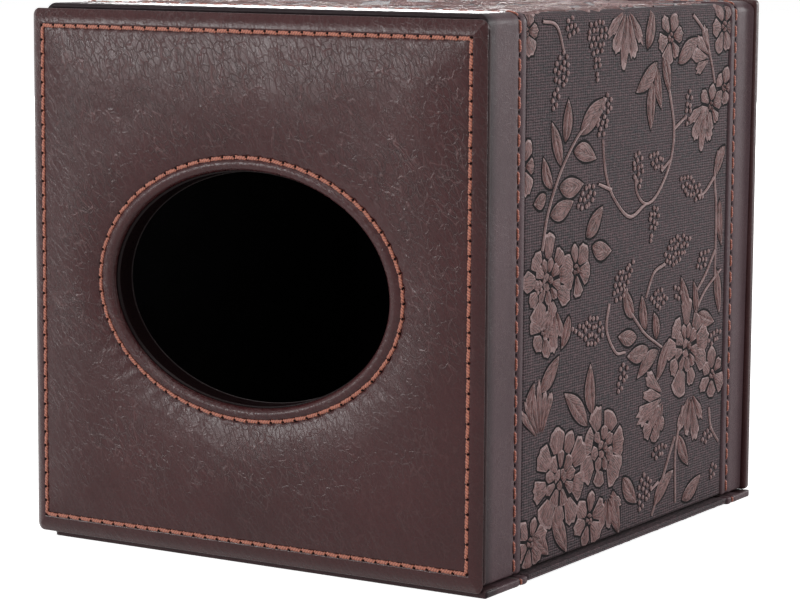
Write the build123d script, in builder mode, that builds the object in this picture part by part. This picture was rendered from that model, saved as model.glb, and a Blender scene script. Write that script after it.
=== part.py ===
from build123d import *
import os

# Cube tissue box cover. The padded plate with the oval mouth faces -Y, the wrapped walls are
# the two sides and the top, and the box stands on its bottom flap, which is hinged along its
# left edge by the covering. X runs to the right, Y to the back, Z up, in millimetres.
# The origin is the middle of the box's footprint, on the surface it stands on.

# ---- driving dimensions ----
PLATE_W = 130.0  # front plate, across
PLATE_H = 130.0  # and up
PLATE_CORNER = 2.0
BACK_W = 129.0  # back plate: a little narrower, and taller than the wrapped top
BACK_H = 132.0
BACK_CORNER = 1.2
DEPTH = 147.0  # crown of the front padding to the outside of the back plate
PAD_RISE = 1.5  # the padding stands this far in front of the stitch line
WALL_RECESS = 2.0  # side walls stand back from the front plate's edges
TOP_PROUD = 1.6  # the top wall stands above the front plate's top edge

LEATHER_T = 0.8  # leather on the front plate, and the bands
FABRIC_T = 0.4  # ground cloth of the patterned panels
BACK_LEATHER_T = 0.6
LINING_T = 0.4
PLATE_BOARD_T = 2.8
INNER_BOARD_T = 2.5
BACK_PLATE_T = 2.5
WALL_BOARD_T = 2.0
FLAP_BOARD_T = 0.8
FLAP_LINING_T = 0.2

# the oval mouth, as half axes
STITCH_A = 43.6
STITCH_B = 31.45
HOLE_A = 39.0
HOLE_B = 27.9
RIM_LINER_T = 0.8
RIM_CREST = 0.6  # the rolled rim stands this far in front of the stitch line
RIM_ROLL = 2.5

# stitching
BORDER_MARGIN = 3.9  # plate edge to the border stitch line
THREAD_W = 0.7
THREAD_T = 0.4
THREAD_PROUD = 0.1

# bands along the walls, as distances behind the front stitch plane
FRONT_BAND_END = 22.0
FRONT_BAND_STITCH = 18.8
REAR_BAND_START = 131.0
REAR_BAND_STITCH = 134.0
WALL_COVER_END = 142.8

# flap and hinge fold
FLAP_GAP = 0.2  # flap to plates
WALL_FOOT_GAP = 0.5  # flap to the wall covering's lower edge
FOLD_RADIUS = 3.0
TOP_CORNER_RADIUS = 2.7
LIP_RADIUS = 0.6
FLAP_TURN_IN = 10.0
FLAP_FRONT = 2.4  # flap's front edge behind the front stitch plane
FLAP_REAR = 145.1

# closure
BATTEN_W = 8.0
BATTEN_H = 5.0
MAGNET_R = 3.0
MAGNET_T = 2.0
MAGNET_Y = 45.0
MAGNET_FIT = 0.05
STRIKE_W = 8.0
STRIKE_L = 14.0
STRIKE_T = 0.4

# shape of the padding and its rolled edges
PAD_SLOPE = 11.0  # width over which the padding rises from the border stitches
DISH_SLOPE = 9.0  # width over which it falls again to the oval stitches
DISH_SHOULDER = 2.6
DISH_SHOULDER_RISE = 0.9
DISH_OVERCUT = 0.08  # the dish's cut runs this far past the crown
PLATE_ROLL = 3.3  # the padded plate's edge is rolled over almost its whole thickness
BACK_ROLL = 0.9
BATTEN_GAP = 0.3  # batten and magnets to the closed flap
BATTEN_CHAMFER = 1.5

# ---- derived places ----
STITCH_Y = PAD_RISE - DEPTH / 2
CROWN_Y = -DEPTH / 2
BACK_Y = DEPTH / 2
BOARD_FRONT_Y = STITCH_Y + LEATHER_T
PLATE_REAR_Y = BOARD_FRONT_Y + PLATE_BOARD_T
INNER_REAR_Y = PLATE_REAR_Y + INNER_BOARD_T
FRONT_LINING_Y = INNER_REAR_Y + LINING_T
BACK_PLATE_Y = BACK_Y - BACK_PLATE_T
BACK_LINING_Y = BACK_PLATE_Y - LINING_T
FRONT_BAND_END_Y = STITCH_Y + FRONT_BAND_END
REAR_BAND_START_Y = STITCH_Y + REAR_BAND_START
WALL_COVER_END_Y = STITCH_Y + WALL_COVER_END
FLAP_FRONT_Y = STITCH_Y + FLAP_FRONT
FLAP_REAR_Y = STITCH_Y + FLAP_REAR

FLAP_TOP_Z = LEATHER_T + FLAP_BOARD_T + FLAP_LINING_T
PLATE_BOTTOM_Z = FLAP_TOP_Z + FLAP_GAP
PLATE_MID_Z = PLATE_BOTTOM_Z + PLATE_H / 2
PLATE_TOP_Z = PLATE_BOTTOM_Z + PLATE_H
TOP_Z = PLATE_TOP_Z + TOP_PROUD
FOOT_Z = FLAP_TOP_Z + WALL_FOOT_GAP

WALL_X = PLATE_W / 2 - WALL_RECESS
BOARD_X = WALL_X - LEATHER_T
INNER_X = BOARD_X - WALL_BOARD_T
CLEAR_X = INNER_X - LINING_T
BOARD_TOP_Z = TOP_Z - LEATHER_T
INNER_TOP_Z = BOARD_TOP_Z - WALL_BOARD_T
CLEAR_TOP_Z = INNER_TOP_Z - LINING_T
RIGHT_BOARD_Z = FOOT_Z + LEATHER_T
FOLD_X = -WALL_X + FOLD_RADIUS
LIP_X = PLATE_W / 2
WALL_LENGTH = BACK_PLATE_Y - PLATE_REAR_Y
LINED_LENGTH = BACK_LINING_Y - FRONT_LINING_Y

os.makedirs("parts", exist_ok=True)


def plate_plane(y):
    """Plane at depth y, centred on the plates, facing the front."""
    return Plane(origin=(0, y, PLATE_MID_Z), x_dir=(1, 0, 0), z_dir=(0, -1, 0))


def back_plane(y):
    """Plane at depth y, centred on the back plate, facing the front."""
    return Plane(origin=(0, y, PLATE_BOTTOM_Z + BACK_H / 2), x_dir=(1, 0, 0), z_dir=(0, -1, 0))


def cross_plane(y):
    """Plane at depth y through the footprint's middle, facing the front: local x is X, local y is Z."""
    return Plane.XZ.offset(-y)


def box_sketch(x_low, x_high, z_low, z_high):
    """A rectangle between two corners, in a cross plane."""
    with BuildSketch() as section:
        with Locations(((x_low + x_high) / 2, (z_low + z_high) / 2)):
            Rectangle(x_high - x_low, z_high - z_low)
    return section.sketch


def case_covering(inset, thickness):
    """Section of the covering: right wall's foot, right wall, top, left wall, half the fold."""
    outer = WALL_X - inset
    inner = outer - thickness
    top = TOP_Z - inset
    foot = FOOT_Z + inset
    outer_r = FOLD_RADIUS - inset
    inner_r = outer_r - thickness
    with BuildSketch() as section:
        with BuildLine():
            FilletPolyline(
                (outer, foot),
                (outer, top),
                (-outer, top),
                (-outer, FOLD_RADIUS),
                radius=TOP_CORNER_RADIUS - inset,
            )
            outside = CenterArc((FOLD_X, FOLD_RADIUS), outer_r, 180, 45)
            inside = CenterArc((FOLD_X, FOLD_RADIUS), inner_r, 180, 45)
            Line(outside @ 1, inside @ 1)
            FilletPolyline(
                (-inner, FOLD_RADIUS),
                (-inner, top - thickness),
                (inner, top - thickness),
                (inner, foot + thickness),
                radius=TOP_CORNER_RADIUS - inset - thickness,
            )
            Polyline((inner, foot + thickness), (INNER_X, foot + thickness), (INNER_X, foot), (outer, foot))
        make_face()
    return section.sketch


def flap_covering(inset, thickness):
    """Section of the flap's covering: half the fold, underside, lip and turned-in edge."""
    outer_r = FOLD_RADIUS - inset
    inner_r = outer_r - thickness
    lip = LIP_X - inset
    turn_x = LIP_X - FLAP_TURN_IN
    turn_z = FLAP_TOP_Z - FLAP_LINING_T
    with BuildSketch() as section:
        with BuildLine():
            outside = CenterArc((FOLD_X, FOLD_RADIUS), outer_r, 225, 45)
            inside = CenterArc((FOLD_X, FOLD_RADIUS), inner_r, 225, 45)
            Line(outside @ 0, inside @ 0)
            FilletPolyline(
                outside @ 1, (lip, inset), (lip, FLAP_TOP_Z), (turn_x, FLAP_TOP_Z), radius=LIP_RADIUS
            )
            Polyline(
                (turn_x, FLAP_TOP_Z),
                (turn_x, turn_z),
                (LIP_X - LEATHER_T, turn_z),
                (LIP_X - LEATHER_T, inset + thickness),
                inside @ 1,
            )
        make_face()
    return section.sketch


def flap_thread_section():
    """Section of a thread lying in the flap's covering, up over the lip."""
    inner_r = FOLD_RADIUS - THREAD_T
    with BuildSketch() as section:
        with BuildLine():
            outside = CenterArc((FOLD_X, FOLD_RADIUS), FOLD_RADIUS, 225, 45)
            inside = CenterArc((FOLD_X, FOLD_RADIUS), inner_r, 225, 45)
            Line(outside @ 0, inside @ 0)
            FilletPolyline(outside @ 1, (LIP_X, 0), (LIP_X, FLAP_TOP_Z - LIP_RADIUS), radius=LIP_RADIUS)
            Polyline(
                (LIP_X, FLAP_TOP_Z - LIP_RADIUS),
                (LIP_X - THREAD_T, FLAP_TOP_Z - LIP_RADIUS),
                (LIP_X - THREAD_T, THREAD_T),
                inside @ 1,
            )
        make_face()
    return section.sketch


def flap_edge_section():
    """Section of the covering where it closes the flap's front or rear edge."""
    with BuildSketch() as section:
        with BuildLine():
            FilletPolyline(
                (FOLD_X, 0), (LIP_X, 0), (LIP_X, FLAP_TOP_Z), (FOLD_X, FLAP_TOP_Z), radius=LIP_RADIUS
            )
            Line((FOLD_X, FLAP_TOP_Z), (FOLD_X, 0))
        make_face()
    return section.sketch


def pad_vault(half, base, crown):
    """Profile of the padding from border to border: flat in the middle, curved to its base at both ends."""
    flat = half - PAD_SLOPE
    with BuildSketch() as section:
        with BuildLine():
            Line((-half, base), (half, base))
            TangentArc((flat, crown), (half, base), tangent=(1, 0))
            Line((flat, crown), (-flat, crown))
            TangentArc((-flat, crown), (-half, base), tangent=(-1, 0))
        make_face()
    return section.sketch


def crowned_pad(inset, base_y, crown_y, dish_a, dish_b):
    """The padding: two crossed vaults, dished down to the oval."""
    half_w = PLATE_W / 2 - BORDER_MARGIN - THREAD_W / 2 - inset
    half_h = PLATE_H / 2 - BORDER_MARGIN - THREAD_W / 2 - inset
    with BuildPart() as pad:
        with BuildSketch(Plane.XY.offset(PLATE_MID_Z - half_h)):
            add(pad_vault(half_w, base_y, crown_y))
        extrude(amount=2 * half_h)
        side = Plane(origin=(-half_w, 0, PLATE_MID_Z), x_dir=(0, 0, 1), z_dir=(1, 0, 0))
        with BuildSketch(side):
            add(pad_vault(half_h, -base_y, -crown_y))
        extrude(amount=2 * half_w, mode=Mode.INTERSECT)
    with BuildPart() as dish:
        shoulder = (DISH_SHOULDER, base_y - DISH_SHOULDER_RISE)
        for grow, y in ((0, base_y), shoulder, (DISH_SLOPE, crown_y - DISH_OVERCUT)):
            with BuildSketch(plate_plane(y)):
                Ellipse(dish_a + grow, dish_b + grow)
        loft()
    with BuildPart() as dished:
        add(pad.part)
        add(dish.part, mode=Mode.SUBTRACT)
    return dished.part


# ---- front plate ----
with BuildPart() as front_board:
    with BuildSketch(plate_plane(PLATE_REAR_Y)):
        RectangleRounded(PLATE_W - 2 * LEATHER_T, PLATE_H - 2 * LEATHER_T, PLATE_CORNER - LEATHER_T)
    extrude(amount=PLATE_BOARD_T)
    fillet(front_board.faces().sort_by(Axis.Y)[0].edges(), radius=PLATE_ROLL - LEATHER_T)
    with BuildSketch(plate_plane(PLATE_REAR_Y)):
        Ellipse(HOLE_A + RIM_LINER_T, HOLE_B + RIM_LINER_T)
    extrude(amount=PLATE_BOARD_T, mode=Mode.SUBTRACT)
front_board.part.label = "front_board"
export_step(front_board.part, "parts/front_board.step")

with BuildPart() as front_foam:
    add(
        crowned_pad(
            inset=LEATHER_T,
            base_y=BOARD_FRONT_Y,
            crown_y=CROWN_Y + LEATHER_T,
            dish_a=STITCH_A + LEATHER_T,
            dish_b=STITCH_B + LEATHER_T,
        )
    )
front_foam.part.label = "front_foam"
export_step(front_foam.part, "parts/front_foam.step")

with BuildPart() as border_thread:
    with BuildSketch(plate_plane(STITCH_Y + THREAD_T - THREAD_PROUD)):
        thread_w = PLATE_W - 2 * BORDER_MARGIN
        thread_h = PLATE_H - 2 * BORDER_MARGIN
        RectangleRounded(thread_w + THREAD_W, thread_h + THREAD_W, THREAD_W)
        Rectangle(thread_w - THREAD_W, thread_h - THREAD_W, mode=Mode.SUBTRACT)
    extrude(amount=THREAD_T)
border_thread.part.label = "border_thread"
export_step(border_thread.part, "parts/border_thread.step")

with BuildPart() as oval_thread:
    with BuildSketch(plate_plane(STITCH_Y + THREAD_T - THREAD_PROUD)):
        Ellipse(STITCH_A + THREAD_W / 2, STITCH_B + THREAD_W / 2)
        Ellipse(STITCH_A - THREAD_W / 2, STITCH_B - THREAD_W / 2, mode=Mode.SUBTRACT)
    extrude(amount=THREAD_T)
oval_thread.part.label = "oval_thread"
export_step(oval_thread.part, "parts/oval_thread.step")

with BuildPart() as front_skin:
    with BuildSketch(plate_plane(PLATE_REAR_Y)):
        RectangleRounded(PLATE_W, PLATE_H, PLATE_CORNER)
    extrude(amount=PLATE_REAR_Y - STITCH_Y)
    fillet(front_skin.faces().sort_by(Axis.Y)[0].edges(), radius=PLATE_ROLL)
    add(
        crowned_pad(
            inset=0,
            base_y=STITCH_Y,
            crown_y=CROWN_Y,
            dish_a=STITCH_A,
            dish_b=STITCH_B,
        )
    )
    with BuildSketch(plate_plane(PLATE_REAR_Y)):
        Ellipse(STITCH_A, STITCH_B)
    extrude(amount=PLATE_REAR_Y - CROWN_Y, mode=Mode.SUBTRACT)
    add(front_board.part, mode=Mode.SUBTRACT)
    add(front_foam.part, mode=Mode.SUBTRACT)
    add(border_thread.part, mode=Mode.SUBTRACT)
    add(oval_thread.part, mode=Mode.SUBTRACT)
front_skin.part.label = "front_skin"
export_step(front_skin.part, "parts/front_skin.step")

with BuildPart() as oval_rim:
    with BuildSketch(plate_plane(FRONT_LINING_Y)):
        Ellipse(STITCH_A, STITCH_B)
        Ellipse(HOLE_A, HOLE_B, mode=Mode.SUBTRACT)
    extrude(amount=FRONT_LINING_Y - STITCH_Y + RIM_CREST)
    hole_edge = oval_rim.faces().sort_by(Axis.Y)[0].inner_wires()[0].edges()
    fillet(hole_edge, radius=RIM_ROLL)
    with BuildSketch(plate_plane(FRONT_LINING_Y)):
        Ellipse(STITCH_A, STITCH_B)
        Ellipse(HOLE_A + RIM_LINER_T, HOLE_B + RIM_LINER_T, mode=Mode.SUBTRACT)
    extrude(amount=FRONT_LINING_Y - BOARD_FRONT_Y, mode=Mode.SUBTRACT)
    add(oval_thread.part, mode=Mode.SUBTRACT)
oval_rim.part.label = "oval_rim"
export_step(oval_rim.part, "parts/oval_rim.step")

# the box's own front panel, between the walls behind the padded plate
with BuildPart() as front_inner_board:
    with BuildSketch(cross_plane(INNER_REAR_Y)):
        add(box_sketch(-INNER_X, INNER_X, PLATE_BOTTOM_Z + FLAP_GAP, INNER_TOP_Z))
        with Locations((0, PLATE_MID_Z)):
            Ellipse(HOLE_A + RIM_LINER_T, HOLE_B + RIM_LINER_T, mode=Mode.SUBTRACT)
    extrude(amount=INNER_BOARD_T)
front_inner_board.part.label = "front_inner_board"
export_step(front_inner_board.part, "parts/front_inner_board.step")

with BuildPart() as front_lining:
    with BuildSketch(cross_plane(FRONT_LINING_Y)):
        add(box_sketch(-INNER_X, INNER_X, RIGHT_BOARD_Z, INNER_TOP_Z))
        with Locations((0, PLATE_MID_Z)):
            Ellipse(HOLE_A + RIM_LINER_T, HOLE_B + RIM_LINER_T, mode=Mode.SUBTRACT)
    extrude(amount=LINING_T)
front_lining.part.label = "front_lining"
export_step(front_lining.part, "parts/front_lining.step")

# ---- back plate ----
with BuildPart() as back_board:
    with BuildSketch(back_plane(BACK_Y - BACK_LEATHER_T)):
        RectangleRounded(
            BACK_W - 2 * BACK_LEATHER_T, BACK_H - 2 * BACK_LEATHER_T, BACK_CORNER - BACK_LEATHER_T
        )
    extrude(amount=BACK_PLATE_T - BACK_LEATHER_T)
back_board.part.label = "back_board"
export_step(back_board.part, "parts/back_board.step")

with BuildPart() as back_skin:
    with BuildSketch(back_plane(BACK_Y)):
        RectangleRounded(BACK_W, BACK_H, BACK_CORNER)
    extrude(amount=BACK_PLATE_T)
    fillet(back_skin.faces().sort_by(Axis.Y)[-1].edges(), radius=BACK_ROLL)
    add(back_board.part, mode=Mode.SUBTRACT)
back_skin.part.label = "back_skin"
export_step(back_skin.part, "parts/back_skin.step")

with BuildPart() as back_lining:
    with BuildSketch(cross_plane(BACK_PLATE_Y)):
        add(box_sketch(-INNER_X, INNER_X, RIGHT_BOARD_Z, INNER_TOP_Z))
    extrude(amount=LINING_T)
back_lining.part.label = "back_lining"
export_step(back_lining.part, "parts/back_lining.step")

# ---- wall boards, with the covering's corner radius on the top one ----
with BuildPart() as top_board:
    with BuildSketch(cross_plane(BACK_PLATE_Y)):
        add(box_sketch(-BOARD_X, BOARD_X, INNER_TOP_Z, BOARD_TOP_Z))
    extrude(amount=WALL_LENGTH)
    long_edges = top_board.edges().filter_by(Axis.Y).group_by(Axis.Z)[-1]
    fillet(long_edges, radius=TOP_CORNER_RADIUS - LEATHER_T)
top_board.part.label = "top_board"
export_step(top_board.part, "parts/top_board.step")

with BuildPart() as left_board:
    with BuildSketch(cross_plane(BACK_PLATE_Y)):
        add(box_sketch(-BOARD_X, -INNER_X, FOLD_RADIUS, INNER_TOP_Z))
    extrude(amount=WALL_LENGTH)
left_board.part.label = "left_board"
export_step(left_board.part, "parts/left_board.step")

with BuildPart() as right_board:
    with BuildSketch(cross_plane(BACK_PLATE_Y)):
        add(box_sketch(INNER_X, BOARD_X, RIGHT_BOARD_Z, INNER_TOP_Z))
    extrude(amount=WALL_LENGTH)
right_board.part.label = "right_board"
export_step(right_board.part, "parts/right_board.step")

# ---- linings ----
with BuildPart() as top_lining:
    with BuildSketch(cross_plane(BACK_LINING_Y)):
        add(box_sketch(-INNER_X, INNER_X, CLEAR_TOP_Z, INNER_TOP_Z))
    extrude(amount=LINED_LENGTH)
top_lining.part.label = "top_lining"
export_step(top_lining.part, "parts/top_lining.step")

with BuildPart() as left_lining:
    with BuildSketch(cross_plane(BACK_LINING_Y)):
        add(box_sketch(-INNER_X, -CLEAR_X, FOLD_RADIUS, CLEAR_TOP_Z))
    extrude(amount=LINED_LENGTH)
left_lining.part.label = "left_lining"
export_step(left_lining.part, "parts/left_lining.step")

with BuildPart() as right_lining:
    with BuildSketch(cross_plane(BACK_LINING_Y)):
        add(box_sketch(CLEAR_X, INNER_X, RIGHT_BOARD_Z, CLEAR_TOP_Z))
    extrude(amount=LINED_LENGTH)
right_lining.part.label = "right_lining"
export_step(right_lining.part, "parts/right_lining.step")

# ---- covering of the walls: leather band, patterned cloth, leather band ----
with BuildPart() as case_front_thread:
    with BuildSketch(cross_plane(STITCH_Y + FRONT_BAND_STITCH + THREAD_W / 2)):
        add(case_covering(0, THREAD_T))
    extrude(amount=THREAD_W)
case_front_thread.part.label = "case_front_thread"
export_step(case_front_thread.part, "parts/case_front_thread.step")

with BuildPart() as case_rear_thread:
    with BuildSketch(cross_plane(STITCH_Y + REAR_BAND_STITCH + THREAD_W / 2)):
        add(case_covering(0, THREAD_T))
    extrude(amount=THREAD_W)
case_rear_thread.part.label = "case_rear_thread"
export_step(case_rear_thread.part, "parts/case_rear_thread.step")

with BuildPart() as case_front_band:
    with BuildSketch(cross_plane(FRONT_BAND_END_Y)):
        add(case_covering(0, LEATHER_T))
    extrude(amount=FRONT_BAND_END_Y - PLATE_REAR_Y)
    add(case_front_thread.part, mode=Mode.SUBTRACT)
case_front_band.part.label = "case_front_band"
export_step(case_front_band.part, "parts/case_front_band.step")

with BuildPart() as case_fabric:
    with BuildSketch(cross_plane(REAR_BAND_START_Y)):
        add(case_covering(FABRIC_T, LEATHER_T - FABRIC_T))
    extrude(amount=REAR_BAND_START_Y - FRONT_BAND_END_Y)
case_fabric.part.label = "case_fabric"
export_step(case_fabric.part, "parts/case_fabric.step")

with BuildPart() as case_rear_band:
    with BuildSketch(cross_plane(WALL_COVER_END_Y)):
        add(case_covering(0, LEATHER_T))
    extrude(amount=WALL_COVER_END_Y - REAR_BAND_START_Y)
    add(case_rear_thread.part, mode=Mode.SUBTRACT)
case_rear_band.part.label = "case_rear_band"
export_step(case_rear_band.part, "parts/case_rear_band.step")

# ---- closure inside the right wall: a batten with two magnets facing the flap ----
BATTEN_Z = FLAP_TOP_Z + BATTEN_GAP
MAGNET_X = CLEAR_X - BATTEN_W / 2
BATTEN_Y = (FRONT_LINING_Y + BACK_LINING_Y) / 2
with BuildPart() as closure_magnets:
    with BuildSketch(Plane.XY.offset(BATTEN_Z)):
        with Locations((MAGNET_X, -MAGNET_Y), (MAGNET_X, MAGNET_Y)):
            Circle(MAGNET_R - MAGNET_FIT)
    extrude(amount=MAGNET_T)
closure_magnets.part.label = "closure_magnets"
export_step(closure_magnets.part, "parts/closure_magnets.step")

with BuildPart() as magnet_batten:
    with BuildSketch(Plane.XY.offset(BATTEN_Z)):
        with Locations((MAGNET_X, BATTEN_Y)):
            Rectangle(BATTEN_W, LINED_LENGTH)
    extrude(amount=BATTEN_H)
    top_inner = magnet_batten.edges().filter_by(Axis.Y).sort_by(Axis.X)[:2].sort_by(Axis.Z)[-1]
    chamfer(top_inner, length=BATTEN_CHAMFER)
    with BuildSketch(Plane.XY.offset(BATTEN_Z)):
        with Locations((MAGNET_X, -MAGNET_Y), (MAGNET_X, MAGNET_Y)):
            Circle(MAGNET_R)
    extrude(amount=MAGNET_T, mode=Mode.SUBTRACT)
magnet_batten.part.label = "magnet_batten"
export_step(magnet_batten.part, "parts/magnet_batten.step")

# ---- bottom flap ----
BOARD_RIGHT_X = LIP_X - LEATHER_T
FLAP_BOARD_TOP_Z = LEATHER_T + FLAP_BOARD_T
with BuildPart() as strike_plates:
    with BuildSketch(Plane.XY.offset(FLAP_BOARD_TOP_Z - STRIKE_T)):
        with Locations((MAGNET_X, -MAGNET_Y), (MAGNET_X, MAGNET_Y)):
            Rectangle(STRIKE_W, STRIKE_L)
    extrude(amount=STRIKE_T)
strike_plates.part.label = "strike_plates"
export_step(strike_plates.part, "parts/strike_plates.step")

with BuildPart() as flap_board:
    with BuildSketch(cross_plane(FLAP_REAR_Y - LEATHER_T)):
        add(box_sketch(FOLD_X, BOARD_RIGHT_X, LEATHER_T, FLAP_BOARD_TOP_Z))
    extrude(amount=FLAP_REAR_Y - FLAP_FRONT_Y - 2 * LEATHER_T)
    add(strike_plates.part, mode=Mode.SUBTRACT)
flap_board.part.label = "flap_board"
export_step(flap_board.part, "parts/flap_board.step")

with BuildPart() as flap_lining:
    with BuildSketch(cross_plane(FLAP_REAR_Y - LEATHER_T)):
        add(box_sketch(FOLD_X, LIP_X - FLAP_TURN_IN, FLAP_BOARD_TOP_Z, FLAP_TOP_Z))
    extrude(amount=FLAP_REAR_Y - FLAP_FRONT_Y - 2 * LEATHER_T)
flap_lining.part.label = "flap_lining"
export_step(flap_lining.part, "parts/flap_lining.step")

with BuildPart() as flap_front_thread:
    with BuildSketch(cross_plane(STITCH_Y + FRONT_BAND_STITCH + THREAD_W / 2)):
        add(flap_thread_section())
    extrude(amount=THREAD_W)
flap_front_thread.part.label = "flap_front_thread"
export_step(flap_front_thread.part, "parts/flap_front_thread.step")

with BuildPart() as flap_rear_thread:
    with BuildSketch(cross_plane(STITCH_Y + REAR_BAND_STITCH + THREAD_W / 2)):
        add(flap_thread_section())
    extrude(amount=THREAD_W)
flap_rear_thread.part.label = "flap_rear_thread"
export_step(flap_rear_thread.part, "parts/flap_rear_thread.step")

with BuildPart() as flap_front_band:
    with BuildSketch(cross_plane(FRONT_BAND_END_Y)):
        add(flap_covering(0, LEATHER_T))
    extrude(amount=FRONT_BAND_END_Y - FLAP_FRONT_Y)
    with BuildSketch(cross_plane(FLAP_FRONT_Y + LEATHER_T)):
        add(flap_edge_section())
    extrude(amount=LEATHER_T)
    add(flap_front_thread.part, mode=Mode.SUBTRACT)
flap_front_band.part.label = "flap_front_band"
export_step(flap_front_band.part, "parts/flap_front_band.step")

with BuildPart() as flap_fabric:
    with BuildSketch(cross_plane(REAR_BAND_START_Y)):
        add(flap_covering(FABRIC_T, LEATHER_T - FABRIC_T))
    extrude(amount=REAR_BAND_START_Y - FRONT_BAND_END_Y)
flap_fabric.part.label = "flap_fabric"
export_step(flap_fabric.part, "parts/flap_fabric.step")

with BuildPart() as flap_rear_band:
    with BuildSketch(cross_plane(FLAP_REAR_Y)):
        add(flap_covering(0, LEATHER_T))
    extrude(amount=FLAP_REAR_Y - REAR_BAND_START_Y)
    with BuildSketch(cross_plane(FLAP_REAR_Y)):
        add(flap_edge_section())
    extrude(amount=LEATHER_T)
    add(flap_rear_thread.part, mode=Mode.SUBTRACT)
flap_rear_band.part.label = "flap_rear_band"
export_step(flap_rear_band.part, "parts/flap_rear_band.step")
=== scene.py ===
import math

import bmesh
import bpy
import numpy as np
from mathutils import Matrix, Vector, noise


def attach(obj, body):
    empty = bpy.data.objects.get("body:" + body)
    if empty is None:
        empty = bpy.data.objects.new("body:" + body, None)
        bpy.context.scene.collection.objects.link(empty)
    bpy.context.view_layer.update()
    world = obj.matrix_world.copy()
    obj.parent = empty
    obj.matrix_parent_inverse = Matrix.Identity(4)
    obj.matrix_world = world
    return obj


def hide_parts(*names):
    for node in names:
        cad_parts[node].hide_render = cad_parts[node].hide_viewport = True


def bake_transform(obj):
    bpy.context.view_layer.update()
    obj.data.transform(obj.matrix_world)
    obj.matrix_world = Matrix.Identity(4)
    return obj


# A cube tissue box cover: padded leather front with an oval mouth, walls wrapped in leather
# bands and a raised floral cloth, and a bottom flap hinged along its left edge by the covering.
# Sizes are in millimetres until a mesh is made, in the frame's own directions.

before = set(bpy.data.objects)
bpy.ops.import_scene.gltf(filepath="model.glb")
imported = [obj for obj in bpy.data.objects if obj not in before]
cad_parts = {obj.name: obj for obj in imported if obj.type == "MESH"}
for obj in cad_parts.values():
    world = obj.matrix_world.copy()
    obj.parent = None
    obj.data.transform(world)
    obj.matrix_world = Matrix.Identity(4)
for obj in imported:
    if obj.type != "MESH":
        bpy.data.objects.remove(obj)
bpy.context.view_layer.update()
MM = 0.001

# ---- sizes that follow the frame ----
PLATE_HALF, PLATE_CORNER, PLATE_MID_Z, PLATE_REAR_Y = 65.0, 2.0, 67.0, -68.4
BACK_HALF_X, BACK_HALF_Z, BACK_MID_Z, BACK_CORNER = 64.5, 66.0, 68.0, 1.2
BACK_PLATE_Y, BACK_Y = 71.0, 73.5
STITCH_Y = -72.0
STITCH_A, STITCH_B = 43.6, 31.45  # half axes of the oval's stitch line
HOLE_A, HOLE_B = 39.0, 27.9  # half axes of the mouth
BORDER_MARGIN = 3.9  # from the plate's edge to its stitches
BORDER_REACH = PLATE_HALF - BORDER_MARGIN
INNER_X, WALL_X, LIP_X, TURN_IN_X = 60.2, 63.0, 65.0, 55.0
FOOT_Z, TOP_Z, FLAP_TOP_Z = 2.3, 133.6, 1.8
CORNER_R, FOLD_R, LIP_R = 2.7, 3.0, 0.6
CASE_REAR_Y, FLAP_FRONT_Y, FLAP_REAR_Y = 70.8, -69.6, 73.1
CLOTH_Y0, CLOTH_Y1 = -50.0, 59.0
FRONT_SEAM_Y, REAR_SEAM_Y = -53.2, 62.0

# ---- shapes of the leather and the cloth ----
PAD_RISE, PAD_SLOPE, DISH_SLOPE = 1.9, 17.0, 14.0
RIM_WIDTH, RIM_DROP, RIM_POWER = 3.45, 3.15, 1.8
PAD_INSET = 3.55  # where the padded face starts, from the plate's edge
OVER_LEFT, OVER_BOTTOM, OVER_TOP = 0.5, 1.2, 0.8  # how far the cut edge stands past the plate
OVER_FROM, OVER_RUN, OVER_Y = 61.5, 3.0, -69.8  # where that starts, over what run, and in front of what Y
# the groove rows take the near-black hole finish as a painted shadow under the cut edge
SIDE_ROWS, GROOVE_ROWS = 4, 7  # where the plate's side ends and the groove behind the cut edge ends
END_ROLL = 0.75
REAR_END_ROLL, REAR_FLARE, REAR_FLARE_RUN = 0.35, 1.15, 3.4
CLOTH_SINK = 0.4
FIGURE_RISE = 0.38
# the dark line between petals is the painted shade under them
GAP = 0.17  # half the dark line between two petals
FAN_HEART = 0.14  # where a fan's petals start, as a share of their length
STEM_WIDTH = 0.95
SEED_PITCH = 2.05
REPEAT = 131.0  # height of the cloth's pattern

# ---- counts ----
BORDER_STITCHES = 35  # along each side of the front
OVAL_STITCHES = 68
BAND_PITCH = 4.35
OVAL_SAMPLES = 2881
ARC_STEPS, FOLD_STEPS = 10, 16
PATH_STEPS = 7  # between two points of a stem

# ---- stage, light and camera, in metres and degrees ----
CAMERA_AT = (0.3831, -0.6211, 0.1536)
CAMERA_YAW, CAMERA_PITCH, CAMERA_ROLL = 31.79, 7.56, 0.373
CAMERA_LENS = 127.86
FLOOR_SIZE = 8.0
LIGHT_AIM = (0, 0, 0.07)
LIGHTS = (
    # name, place, size, power
    ("key", (-0.90, -1.20, 0.44), 0.44, 12.0),
    ("fill", (-0.10, -1.10, 1.15), 0.60, 4.0),
    ("overhead", (0.25, -0.45, 1.35), 0.8, 5.0),
    ("right", (1.35, -0.15, 0.45), 0.7, 3.4),
    ("side_rear", (0.62, 1.15, 0.35), 0.45, 9.0),
    ("behind", (-0.95, 1.50, 0.22), 0.50, 22.0),
)


def srgb(r, g, b):
    """A display colour, 0 to 255, as the linear colour that a shader takes."""
    shares = (r / 255, g / 255, b / 255)
    linear = [c / 12.92 if c <= 0.04045 else ((c + 0.055) / 1.055) ** 2.4 for c in shares]
    return (*linear, 1.0)


def unit(value):
    """Holds values between 0 and 1."""
    return np.clip(value, 0, 1)


def circle(count):
    """Angles spaced evenly round a circle."""
    return np.linspace(0, 2 * math.pi, count, endpoint=False)


# ==== meshes ====
def put(name, data):
    """A new object in the scene, for a mesh, a light or a camera."""
    obj = bpy.data.objects.new(name, data)
    bpy.context.scene.collection.objects.link(obj)
    return obj


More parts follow.
